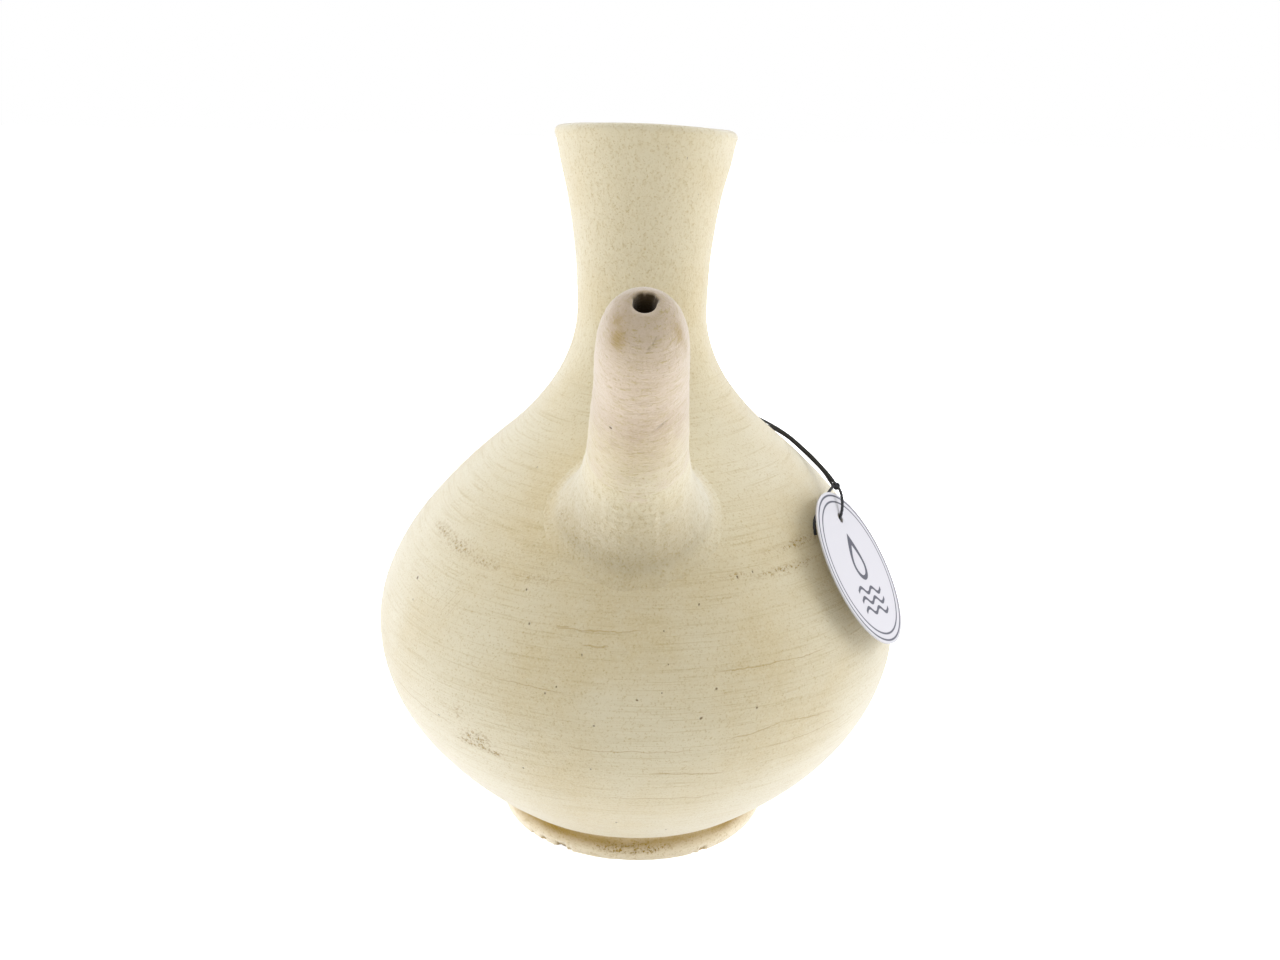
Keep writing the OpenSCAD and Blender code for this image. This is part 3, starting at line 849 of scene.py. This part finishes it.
def knot_rings(node, diameter, turn, columns=16):
    """Rings of a tight overhand knot that fills a node's ball.

    Its centreline is a trefoil, (2 + cos 3t)(cos 2t, sin 2t) and 1.3 sin 3t, turned about two axes.
    """
    low, high = (np.array(corner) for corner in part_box(node))
    t = np.linspace(0, 2 * np.pi, 180, endpoint=False)
    trefoil = np.stack([(2 + np.cos(3 * t)) * np.cos(2 * t), (2 + np.cos(3 * t)) * np.sin(2 * t),
                        1.3 * np.sin(3 * t)], -1)
    c, s = math.cos(turn), math.sin(turn)
    tilt = np.array([[c, 0, s], [0, 1, 0], [-s, 0, c]]) @ np.array([[1, 0, 0], [0, c, -s], [0, s, c]])
    thin = 0.46 * diameter
    line = trefoil @ tilt.T * ((high - low)[0] / 2 - thin) / 3
    ahead = unit(np.roll(line, -1, 0) - np.roll(line, 1, 0))
    first = unit(np.cross(ahead, unit(line)))
    second = np.cross(ahead, first)
    around = turned(columns)
    tube = (line[:, None, :] + thin * (np.cos(around)[..., None] * first[:, None, :]
                                       + np.sin(around)[..., None] * second[:, None, :]))
    return tube + (low + high) / 2


def waxed_cotton():
    """Waxed cotton cord, laid of three plies: near black, with the dull shine of the wax on its fibres."""
    colours = sizes("colours")
    material = bpy.data.materials.new("waxed_cotton_cord")
    material.use_nodes = True
    tree = material.node_tree
    shader = tree.nodes["Principled BSDF"]
    shader.inputs["Roughness"].default_value = 0.6
    place = add(tree, "ShaderNodeTexCoord").outputs["Object"]
    fibres = grain(tree, place, (3500, 3500, 3500))
    waxed = tint(tree, fade(tree, fibres, 0.4, 0.75), colours.cord, colours.cord_wax)
    tree.links.new(waxed, shader.inputs["Base Color"])
    bump = add(tree, "ShaderNodeBump", {"Height": fibres, "Distance": 0.12 * MM, "Strength": 1.0})
    tree.links.new(bump.outputs[0], shader.inputs["Normal"])
    return material


class BOTIJO_OT_cords(bpy.types.Operator):
    """The doubled cord round the handle, the two strands at the card, and their knots"""
    bl_idname = "botijo.cords"
    bl_label = "Cord and knots"

    def execute(self, context):
        diameter = sizes("card").cord
        material = waxed_cotton()
        knots = {}
        for node, turn in (("tag_knot", 0.6), ("tie_knot", 1.2)):
            knots[node] = skin(node + "_cord", knot_rings(node, diameter, turn), True, "tag", node)
            finish_piece(knots[node], material)
        for name, node, route, body, far_end, with_pieces in (
                ("tag_cord_loop", "tag_cord", CORD_ROUTE, "vessel", "object", []),
                ("front_strand_cord", "front_strand", FRONT_ROUTE, "tag", "knot", [knots["tie_knot"]]),
                ("tail_strand_cord", "tail_strand", TAIL_ROUTE, "tag", "bare", [knots["tag_knot"]])):
            line = smooth_route(route, 12)
            piece = skin(name, laid_cord(line, diameter), False, body, node)
            finish_piece(piece, material)
        return {"FINISHED"}


# Clay

class BOTIJO_OT_wall(bpy.types.Operator):
    """The two thrown halves of the body and the flared neck"""
    bl_idname = "botijo.wall"
    bl_label = "Thrown body"

    def execute(self, context):
        colours = sizes("colours")
        body = bare_clay("thrown_buff_earthenware", 0.8, colours.clay, colours.pale_clay,
                         (22, 22, 420), (40, 40, 1700), marked=True)
        bowl = thrown_section("lower_body_clay", "lower_body", BOWL_FOOT, SEAM, sizes("wall").edge)
        finish_piece(bowl, body)
        finish_piece(thrown_section("shoulder_clay", "shoulder", SEAM, NECK_FOOT), body)
        scraped = bare_clay("scraped_buff_earthenware", 0.7, colours.clay, colours.pale_clay,
                            (330, 330, 90), (760, 760, 420), marked=True)
        finish_piece(self.neck(), scraped)
        return {"FINISHED"}

    def neck(self):
        """The neck's wall with a rounded lip, a half ellipse from the outer to the inner face at the rim.

        The lip is drawn in by lip_tuck over its last 15 mm. The mouth is uneven: lower by rim_dip all round,
        tilted by rim_tilt at its two sides, and higher towards the spout by rim_rise times the power 1.5 of
        how far a point is to the front. All of it fades out over 40 mm below the rim.
        """
        wall = sizes("wall")
        lip = RIM_TOP - wall.lip_drop
        outer = with_relief(wall_rings(steps(NECK_FOOT, lip, 1.0 * MM), 0))
        inner = wall_rings(steps(NECK_FOOT, lip, 2.5 * MM)[::-1], 1)
        over = np.linspace(0, np.pi, 16)[1:-1, None, None]
        first, last = outer[-1][None], inner[0][None]
        middle, half = (first + last) / 2, (first - last) / 2
        crown = middle + half * np.cos(over) + np.array([0, 0, wall.lip_drop]) * np.sin(over)
        rings = np.concatenate([outer, crown, inner])
        tuck = wall.lip_tuck * smooth_step(RIM_TOP - 15 * MM, RIM_TOP, rings[..., 2])
        rings[..., :2] *= (1 - tuck / np.hypot(rings[..., 0], rings[..., 1]))[..., None]
        high = smooth_step(RIM_TOP - 40 * MM, RIM_TOP, rings[..., 2])
        uneven = 0.25 * MM * noise(rings, 22 * MM, 21)
        fore = np.clip(-rings[..., 1] / wall.rim_radius, 0, 1) ** 1.5
        tilt = wall.rim_rise * fore - wall.rim_dip - wall.rim_tilt * rings[..., 0] / wall.rim_radius
        rings[..., 2] += high * (uneven + tilt)
        return skin("neck_clay", rings, True, "vessel", "neck", marks={"crumble": crumble(rings)})


# Chips out of the foot's lip: degrees from the front, half width in degrees, depth in millimetres
FOOT_CHIPS = [
    (-31, 3.4, 1.9), (-40, 1.6, 1.1), (-26.5, 1.2, 0.9), (31, 2.0, 1.2), (-47, 1.0, 0.8), (27, 1.0, 0.8),
    (150, 3.0, 1.5), (-120, 2.5, 1.4), (85, 2.0, 1.2)]


class BOTIJO_OT_foot(bpy.types.Operator):
    """The turned foot with its rough groove and chipped lip"""
    bl_idname = "botijo.foot"
    bl_label = "Foot"

    def execute(self, context):
        colours = sizes("colours")
        # Painted light: the foot takes the paler foot_clay for both tones
        material = bare_clay("turned_buff_earthenware", 0.7, colours.foot_clay, colours.foot_clay,
                             (22, 22, 500), (200, 200, 900))
        finish_piece(self.foot(), material)
        return {"FINISHED"}

    def foot(self):
        """A profile of points turned about the axis, chipped and crumbled.

        The profile runs from the middle of the standing face along it, round the lip, through the groove and
        up to the bowl, then down inside to the floor. A chip draws the lip in by its depth within its width.
        The crumbs lie in a patch at the front. The ochre band in the groove, a bell curve of the height that
        is broken up by noise, is partly a stain and partly painted shade under the bowl's edge. The chips
        have the same stain, with painted shade at their bottom.
        """
        foot, wall = sizes("foot"), sizes("wall")
        face = np.linspace(0.02, 1, 14)[:, None] * (foot.stand_radius, 0)
        t = np.linspace(0, 1, 14)[1:, None]
        swing = t * t * (3 - 2 * t)
        lip = np.array([[foot.lip_radius, foot.lip_height]])
        groove = np.array([[foot.groove_radius, foot.groove_height]])
        top = np.array([[wall.bowl_radius - foot.step, BOWL_FOOT]])
        lean = np.radians(90 * t)
        under = face[-1] + (lip - face[-1]) * np.concatenate([np.sin(lean), 1 - np.cos(lean)], 1)
        waist = lip + (groove - lip) * np.concatenate([swing, t], 1)
        rise = groove + (top - groove) * np.concatenate([t ** 2, t], 1)
        inner_radius = wall.bowl_radius - wall.thickness * math.hypot(1, wall.bowl_slope)
        inside = np.array([
            (inner_radius, BOWL_FOOT), (inner_radius, foot.floor + 1 * MM), (inner_radius, foot.floor),
            (0.6 * inner_radius, foot.floor), (0.02 * inner_radius, foot.floor)])
        line = np.concatenate([face, under, waist, rise, inside])
        around = turned(WALL_COLUMNS)
        flat = line[:, :1] * np.cos(around), line[:, :1] * np.sin(around)
        rings = np.stack(np.broadcast_arrays(*flat, line[:, 1:]), -1)
        radius, height = np.hypot(rings[..., 0], rings[..., 1]), rings[..., 2]
        azimuth = np.degrees(np.arctan2(rings[..., 0], -rings[..., 1]))
        outside = smooth_step(foot.stand_radius - 6 * MM, foot.stand_radius - 1 * MM, radius)
        outside[-len(inside):] = 0
        low = 1 - smooth_step(0, foot.lip_height + 1 * MM, height)
        ragged, uneven = 0.25 * noise(rings, 1.5 * MM, 33), 0.8 + 0.3 * noise(rings, 2 * MM, 34)
        bite = np.zeros_like(radius)
        for degrees, half_width, depth in FOOT_CHIPS:
            turn = (azimuth - degrees + 180) % 360 - 180
            window = 1 - smooth_step(0.6, 1, np.abs(turn / half_width + ragged))
            bite = np.maximum(bite, window * depth * MM * uneven)
        bite = bite * outside * low
        crumbly = np.exp(-(azimuth / 14) ** 2 - ((height - 6 * MM) / (2.2 * MM)) ** 2) * outside
        rough = 0.12 * MM * noise(rings, 3 * MM, 31) + 0.3 * MM * noise(rings, 25 * MM, 32)
        crumbs = foot.crumbs * crumbly * (0.3 + noise(rings, 1.3 * MM, 35))
        shift = (rough + crumbs) * outside - bite
        rings[..., :2] *= (1 + shift / radius)[..., None]
        # Partly an ochre stain, partly painted shade under the bowl's edge
        groove_stain_and_shade = np.exp(-((height - foot.groove_height + 0.8 * MM) / (2.8 * MM)) ** 2)
        groove_stain_and_shade = groove_stain_and_shade * (0.95 + 0.3 * noise(rings * np.array([1, 1, 5]), 14 * MM, 36)) * outside
        stain = np.maximum(groove_stain_and_shade, smooth_step(0.3 * MM, 0.9 * MM, bite))
        # Painted shade at the bottom of the chips
        painted_chip_shade = 0.8 * smooth_step(0.8 * MM, 1.7 * MM, bite)
        return skin("foot_clay", rings, False, "vessel", "foot",
                    marks={"crumble": np.maximum(crumbly, 0.3 * groove_stain_and_shade), "stain": stain, "inside": painted_chip_shade})


def spout_frame():
    """Root of the spout on the shoulder, its side, the direction to its back, and its axis.

    The three directions are x, y and z, turned by 90 degrees minus the rise about x and by the lean about y.
    """
    spout = sizes("spout")
    tilt, lean = math.pi / 2 - spout.rise, spout.lean
    root = np.array([spout.root_side, -float(wall_radius(spout.root_height)), spout.root_height])
    ct, st, cl, sl = math.cos(tilt), math.sin(tilt), math.cos(lean), math.sin(lean)
    return root, np.array([cl, sl * st, -sl * ct]), np.array([0, ct, st]), np.array([sl, -cl * st, cl * ct])


def on_spout(along, radius, around):
    """Points at some distance along the spout's axis and from it, at an angle from its side to its back."""
    root, side, back, axis = spout_frame()
    return (root + np.asarray(along)[..., None] * axis + np.asarray(radius)[..., None]
            * (np.cos(around)[..., None] * side + np.sin(around)[..., None] * back))


def spout_radius(along):
    """Outer radius of the spout: a cone, then a dome r (1 - t^3)^(1/3)."""
    spout = sizes("spout")
    cone = spout.reach - spout.dome
    t = np.clip((along - cone) / spout.dome, 0, 1)
    tapered = spout.root_radius + (spout.tip_radius - spout.root_radius) * along / cone
    return np.where(along <= cone, tapered, spout.tip_radius * (1 - t ** 3) ** (1 / 3))


def spout_relief(along, around):
    """Unevenness of the spout: fine rings that waver a little, and the swell of the potter's fingers."""
    spout = sizes("spout")
    near = np.stack(np.broadcast_arrays(16 * MM * np.cos(around), 16 * MM * np.sin(around), along), -1)
    return (spout.rings * noise(near * np.array([0.12, 0.12, 1]), 1.7 * MM, 41)
            + 0.25 * MM * noise(near, 16 * MM, 42) + 0.06 * MM * noise(near, 3 * MM, 43))


# Stains on the dome: millimetres along the spout, degrees from its side, half length, half width, strength
DOME_STAINS = [
    (95.5, 229, 3.2, 13, 0.8), (99, 214, 1.6, 10, 0.55), (95, 333, 3, 10, 0.75), (89, 338, 3, 6, 0.4)]

# Small tears on the spout: millimetres along it, degrees from its side, half length, half width
SPOUT_TEARS = [(96.3, 284.5, 1.0, 1.1), (62.6, 297, 0.45, 7.0), (95, 278, 0.35, 3.0), (97.2, 289, 0.3, 3.5)]


class BOTIJO_OT_spout(bpy.types.Operator):
    """The domed drinking spout with its chipped hole, and the collar pressed around its root"""
    bl_idname = "botijo.spout"
    bl_label = "Spout and collar"

    def execute(self, context):
        spout, colours = sizes("spout"), sizes("colours")
        axis = {"centre": tuple(spout_frame()[0]), "turn": (math.pi / 2 - spout.rise, spout.lean, 0)}
        pink = bare_clay("thrown_pink_earthenware", 1.3, colours.pink_clay, colours.pale_pink,
                         (60, 60, 600), (260, 260, 1300), slipped=True, **axis)
        finish_piece(self.spout(), pink)
        buff = bare_clay("pressed_buff_earthenware", 0.95, colours.clay, colours.pale_clay,
                         (240, 240, 120), (700, 700, 420), **axis)
        finish_piece(self.collar(), buff)
        return {"FINISHED"}

    def spout(self):
        """Outer face from the root to the hole, then the throat and the channel back to the root.

        On its far side the hole's edge is chipped: the radius grows there by a jagged noise. A stain or a
        tear is a bell curve of the place along the spout and the angle around it, and a tear runs aslant.
        The dome is a little darker towards its crown, and the throat, channel and chips of the hole are
        painted dark as shade. The slip fades out from the collar to the bare clay.
        """
        spout = sizes("spout")
        cone = spout.reach - spout.dome
        narrow = (spout.hole_radius + spout.crown) / spout.tip_radius
        crown = cone + spout.dome * (1 - narrow ** 3) ** (1 / 3)
        around = turned(260)
        shaft = np.linspace(-spout.root_depth, cone, 130)
        dome = cone + (crown - cone) * np.sin(np.linspace(0, np.pi / 2, 90))[1:]
        along = np.concatenate([shaft, dome])[:, None]
        fine = spout_relief(along, around) * smooth_step(crown, crown - 1.5 * MM, along)
        turn = np.degrees(around)
        stain, tear = np.zeros(fine.shape), np.zeros(fine.shape)
        for level, degrees, half_length, half_width, strength in DOME_STAINS:
            patch = np.exp(-((along / MM - level) / half_length) ** 2 - ((turn - degrees) / half_width) ** 2)
            stain = np.maximum(stain, strength * patch)
        for level, degrees, half_length, half_width in SPOUT_TEARS:
            aslant = along / MM - level - 0.16 * (turn - degrees)
            patch = np.exp(-(aslant / half_length) ** 2 - ((turn - degrees) / half_width) ** 2)
            tear = np.maximum(tear, patch)
        outer = on_spout(along, spout_radius(along) + fine - 0.25 * MM * tear, around)
        jag = np.stack([np.cos(around), np.sin(around), 0 * around], -1) * spout.hole_radius
        ragged = 0.75 + 0.6 * noise(jag, 3.1 * MM, 51) + 0.3 * noise(jag, 1.0 * MM, 52)
        chip = spout.chips * np.clip(ragged, 0, 1) * smooth_step(0.05, 0.75, np.sin(around + 0.15))
        edge = spout.hole_radius + chip
        rim = spout.hole_radius + spout.crown
        into = np.linspace(0, 1, 9)[1:, None]
        sunk = 0.35 * MM * into ** 3 + 0.5 * chip * into ** 2
        lip = on_spout(crown - sunk, rim + (edge - rim) * into, around)
        throat = np.concatenate([
            on_spout(crown - depth * MM - 0.5 * chip * kept, spout.hole_radius + chip * kept, around)
            for depth, kept in ((1.2, 0.7), (2.6, 0.35), (4.5, 0.0), (8.0, 0.0))])
        tip_bore, root_bore = spout.tip_radius - spout.wall, spout.root_radius - spout.wall
        inner = np.array([
            (crown - spout.throat, spout.hole_radius), (cone, tip_bore), (cone / 2, tip_bore + 2 * MM),
            (0, root_bore), (-spout.root_depth, root_bore)])
        channel = on_spout(inner[:, :1], inner[:, 1:] + 0 * around, around)
        rings = unburied(np.concatenate([outer, lip, throat, channel]))
        blank = np.zeros((len(rings) - len(outer), around.size))
        # The dome's colour darkens a little towards its crown
        dome_darkening = 0.09
        darker_dome = dome_darkening * smooth_step(80 * MM, 98 * MM, along)
        # Painted shade: the throat and channel take the full dark brown; tears are a little darker
        inside = np.concatenate([np.maximum(tear * 0.35, darker_dome), blank + 1.0])
        # Painted shade in the chips of the hole's edge
        chipped = into ** 2 * np.clip(chip / (0.6 * MM), 0, 1)
        inside[len(outer):len(outer) + len(lip)] = np.maximum(chipped, dome_darkening)
        slip = 1 - smooth_step(spout.pink_from - 28 * MM, spout.pink_from + 12 * MM, along + 0 * around)
        return skin("spout_clay", rings, True, "vessel", "spout",
                    marks={"stain": np.concatenate([stain, blank]), "inside": inside,
                           "slip": np.concatenate([slip, blank])})

    def collar(self):
        """The spout's radius plus a flare, with its foot melted on.

        The flare grows as the power 2.2 of the way down, so the collar is hollow like a bell's mouth. It is
        widest at both sides, where it makes two wings, as the fourth power of the cosine of the angle from
        them. It is painted darker towards its foot, most at the front, as painted shade under the collar.
        """
        spout = sizes("spout")
        around = turned(300)
        levels = np.linspace(spout.collar_top, -22 * MM, 150)
        along = np.concatenate([[spout.collar_top + 5 * MM], levels])[:, None]
        to_side, to_back = np.cos(around), np.sin(around)
        front = smooth_step(0, 0.7, -to_back)
        down = np.clip(1 - along / spout.collar_top, 0, 1.2)
        other = np.where(to_back < 0, spout.front_flare, spout.back_flare)
        flare = (spout.wing_flare * to_side ** 4 + other * to_back ** 2) * down ** 2.2
        smear = np.stack(np.broadcast_arrays(24 * MM * to_side, 24 * MM * to_back, along), -1)
        pressed = (spout.smears * noise(smear * np.array([1, 1, 0.15]), 2.6 * MM, 61)
                   + 0.6 * MM * noise(smear, 14 * MM, 62) + 0.08 * MM * noise(smear, 3 * MM, 63))
        radius = spout_radius(along) + spout_relief(along, around) + flare
        radius = radius + smooth_step(0, 0.5, down) * pressed
        at_top = smooth_step(spout.collar_top - 3 * MM, spout.collar_top + 1 * MM, along)
        radius = radius - 0.25 * MM * at_top
        outer = on_spout(along, radius, around)
        _, side, back, _ = spout_frame()
        outward = np.broadcast_to(to_side[..., None] * side + to_back[..., None] * back, outer.shape)
        reach = spout.wing_melt + (spout.front_melt - spout.wing_melt) * front
        reach = reach + 2 * MM * np.clip(to_back, 0, 1)
        outer = melt(outer, outward, reach)
        off_wall = smooth_step(0, 3 * MM, wall_gap(outer))
        # Painted shade: darker towards the collar's foot, most at the front, and weaker where it meets the
        # wall
        painted_collar_shade = 0.15 * smooth_step(spout.collar_top - 3 * MM, 8 * MM, along)
        painted_collar_shade = (painted_collar_shade + 0.06 * front * smooth_step(14 * MM, 2 * MM, along)) * (0.3 + 0.7 * off_wall)
        below = np.linspace(-6 * MM, spout.collar_top, 10)[:, None]
        inner = unburied(on_spout(below, spout_radius(below) - 1.5 * MM + 0 * around, around))
        rings = np.concatenate([outer, inner])
        painted_shade_marks = np.concatenate([painted_collar_shade, 0 * inner[..., 0]])
        return skin("spout_collar_clay", rings, True, "vessel", "spout_collar",
                    marks={"crumble": crumble(rings), "inside": painted_shade_marks})


class BOTIJO_OT_handle(bpy.types.Operator):
    """The pulled strap behind the neck, with both ends pressed on"""
    bl_idname = "botijo.handle"
    bl_label = "Handle"

    def execute(self, context):
        colours = sizes("colours")
        pulled = bare_clay("pulled_buff_earthenware", 0.6, colours.clay, colours.pale_clay,
                           (420, 50, 50), (900, 200, 200))
        finish_piece(self.strap(), pulled)
        return {"FINISHED"}

    def strap(self):
        """A rounded oblong section carried round two arcs, wider at both ends, which melt into the pot.

        The section is half its size times the cosine and the sine of the angle, both to the power 0.8. The
        upper arc turns from 134 degrees down to 0, where the strap stands upright, and the lower one to -30.
        """
        strap = sizes("handle")
        turns = np.radians(np.linspace(134, 0, 170))
        falls = np.radians(np.linspace(0, -30, 170))[1:]
        bend = np.concatenate([
            np.full(len(turns), strap.bend_radius), np.full(len(falls), strap.sweep_radius)])
        bend, lean = bend[:, None], np.concatenate([turns, falls])[:, None]
        middle = np.stack([0 * lean, strap.outreach - bend + bend * np.cos(lean),
                           strap.bend_height + bend * np.sin(lean)], -1)
        outer = np.stack([0 * lean, np.cos(lean), np.sin(lean)], -1)
        off_wall = np.maximum(wall_gap(middle), 0)
        swell = 1 + strap.spread * np.clip(1 - off_wall / strap.spread_length, 0, 1) ** 2
        around = turned(150)
        thick = np.sign(np.cos(around)) * np.abs(np.cos(around)) ** 0.8 * strap.thickness / 2
        wide = np.sign(np.sin(around)) * np.abs(np.sin(around)) ** 0.8 * strap.width / 2
        pieces = np.linalg.norm(np.diff(middle[:, 0], axis=0), axis=1)
        along = np.cumsum(np.concatenate([[0], pieces]))[:, None]
        near = np.stack(np.broadcast_arrays(wide, thick, along), -1)
        grooves = (strap.grooves * noise(near * np.array([1, 1, 0.06]), 2.4 * MM, 71)
                   + 0.5 * MM * noise(near, 18 * MM, 72) + 0.1 * MM * noise(near, 4 * MM, 73))
        away = swell[..., None] * (thick[..., None] * outer + wide[..., None] * np.array([1.0, 0, 0]))
        rings = melt(middle + away + unit(away) * grooves[..., None], unit(away), strap.melt)
        return skin("handle_clay", rings, False, "vessel", "handle", marks={"crumble": crumble(rings)})


class BOTIJO_OT_card(bpy.types.Operator):
    """The round white card with two thin rings and a plain water-drop print"""
    bl_idname = "botijo.card"
    bl_label = "Card"

    def execute(self, context):
        finish_piece(self.card(), self.coated_card())
        return {"FINISHED"}

    def card(self):
        """A disc with a hole, as rings that grow from the hole's circle to the card's, on both faces.

        Its plane stands on the belly's slope. The attributes across and upward give places on it, and
        printed is 1 on its outer face.
        """
        card = sizes("card")
        tilt = math.atan(-float(wall_slope(card.height)))
        c, s = math.cos(card.turn), math.sin(card.turn)
        about = np.array([[c, -s, 0], [s, c, 0], [0, 0, 1]])
        right, out = about @ np.array([0, 1, 0]), about @ np.array([math.cos(tilt), 0, math.sin(tilt)])
        up = np.cross(out, right)
        centre = (about @ np.array([float(wall_radius(card.height)), 0, card.height])
                  + right * card.side + up * card.lift + out * card.clearance)
        around = turned(200)
        circle = np.stack([np.cos(around), np.sin(around)], -1)
        hole = np.array([card.hole_side, card.hole_lift]) + card.hole_radius * circle
        grown = np.linspace(0, 1, 40)[:, None, None]
        flat = hole + (card.radius * circle - hole) * grown
        levels = np.repeat([card.thickness / 2, -card.thickness / 2], len(grown))
        flat = np.concatenate([flat, flat[::-1]])
        rings = centre + flat[..., :1] * right + flat[..., 1:] * up + levels[:, None, None] * out
        marks = {"across": flat[..., 0] / MM, "upward": flat[..., 1] / MM, "printed": levels[:, None] > 0}
        return skin("hang_tag_card", rings, True, "tag", "hang_tag", sharp=30, marks=marks)

    def coated_card(self):
        """Coated white card: smooth and slightly satin, printed in grey with rings, a drop and three waves.

        The print stands upright along the line from the card's middle to its hole. A ring is the distance of
        the radius from its own, and a wave is the height above a sine of 11 mm.
        """
        card, colours = sizes("card"), sizes("colours")
        material = bpy.data.materials.new("coated_white_card")
        material.use_nodes = True
        tree = material.node_tree
        shader = tree.nodes["Principled BSDF"]
        shader.inputs["Roughness"].default_value = 0.5
        across, upward = attribute(tree, "across"), attribute(tree, "upward")
        lean = math.atan2(card.hole_side, card.hole_lift)
        right = maths(tree, "MULTIPLY_ADD", upward, -math.sin(lean), weaker(tree, across, math.cos(lean)))
        up = maths(tree, "MULTIPLY_ADD", upward, math.cos(lean), weaker(tree, across, math.sin(lean)))
        place = add(tree, "ShaderNodeCombineXYZ", {"X": right, "Y": up}).outputs[0]
        radius = add(tree, "ShaderNodeVectorMath", {0: place}, operation="LENGTH").outputs["Value"]
        line = card.line / MM
        ink = 0.0
        for ring in (card.outer_ring, card.inner_ring):
            off = maths(tree, "ABSOLUTE", maths(tree, "SUBTRACT", radius, ring / MM))
            ink = maths(tree, "MAXIMUM", ink, fade(tree, off, 0.75 * line, 0.25 * line))
        sideways = maths(tree, "ABSOLUTE", right)
        outline = self.drop(tree, sideways, up, card.drop / MM, 13.0)
        hollow = self.drop(tree, sideways, up, card.drop / MM - 1.9, 8.0)
        ink = maths(tree, "MAXIMUM", ink, maths(tree, "SUBTRACT", outline, hollow))
        ripple = maths(tree, "SINE", weaker(tree, right, 2 * math.pi / 11))
        within = fade(tree, sideways, 12.4, 11.8)
        for level in (-9.5, -13.5, -17.5):
            above = maths(tree, "SUBTRACT", maths(tree, "MULTIPLY_ADD", ripple, -1.1, up), level)
            wave = fade(tree, maths(tree, "ABSOLUTE", above), 0.85, 0.55)
            ink = maths(tree, "MAXIMUM", ink, maths(tree, "MULTIPLY", wave, within))
        ink = maths(tree, "MULTIPLY", ink, attribute(tree, "printed"))
        # The card's grey is painted shade on a white card
        tree.links.new(tint(tree, ink, colours.card, colours.print_grey), shader.inputs["Base Color"])
        return material

    def drop(self, tree, sideways, up, radius, height):
        """1 inside a water drop whose widest place is at 1 mm.

        Its half width is radius sqrt(1 - q^2) below that place and radius (1 - p^1.6) above it, with q and p
        the level as a share of the radius and of the height.
        """
        level = maths(tree, "SUBTRACT", up, 1.0)
        below = maths(tree, "MINIMUM", weaker(tree, level, -1 / radius), 1.0)
        below = maths(tree, "MAXIMUM", below, 0.0)
        above = maths(tree, "MINIMUM", weaker(tree, level, 1 / height), 1.0)
        above = maths(tree, "MAXIMUM", above, 0.0)
        round_part = maths(tree, "SQRT", maths(tree, "SUBTRACT", 1.0, maths(tree, "POWER", below, 2.0)))
        pointed = maths(tree, "SUBTRACT", 1.0, maths(tree, "POWER", above, 1.6))
        half_width = weaker(tree, maths(tree, "MULTIPLY", round_part, pointed), radius)
        return fade(tree, maths(tree, "SUBTRACT", half_width, sideways), 0.0, 0.25)


class BOTIJO_PT_panel(bpy.types.Panel):
    """Lists the operators that build the pot"""
    bl_idname = "BOTIJO_PT_panel"
    bl_label = "Botijo"
    bl_space_type = "VIEW_3D"
    bl_region_type = "UI"
    bl_category = "Botijo"

    def draw(self, context):
        for operator in OPERATORS:
            self.layout.operator(operator.bl_idname)


OPERATORS = (
    BOTIJO_OT_stage, BOTIJO_OT_cords, BOTIJO_OT_wall, BOTIJO_OT_foot, BOTIJO_OT_spout, BOTIJO_OT_handle,
    BOTIJO_OT_card)


def register():
    for kind in (*SIZES.values(), *OPERATORS, BOTIJO_PT_panel):
        bpy.utils.register_class(kind)
    for label, kind in SIZES.items():
        setattr(bpy.types.Scene, "botijo_" + label, bpy.props.PointerProperty(type=kind))


def unregister():
    for label in SIZES:
        delattr(bpy.types.Scene, "botijo_" + label)
    for kind in (BOTIJO_PT_panel, *OPERATORS, *SIZES.values()):
        bpy.utils.unregister_class(kind)


def main():
    register()
    bpy.ops.botijo.stage()
    bpy.ops.botijo.cords()
    bpy.ops.botijo.wall()
    bpy.ops.botijo.foot()
    bpy.ops.botijo.spout()
    bpy.ops.botijo.handle()
    bpy.ops.botijo.card()


if __name__ == "__main__":
    main()
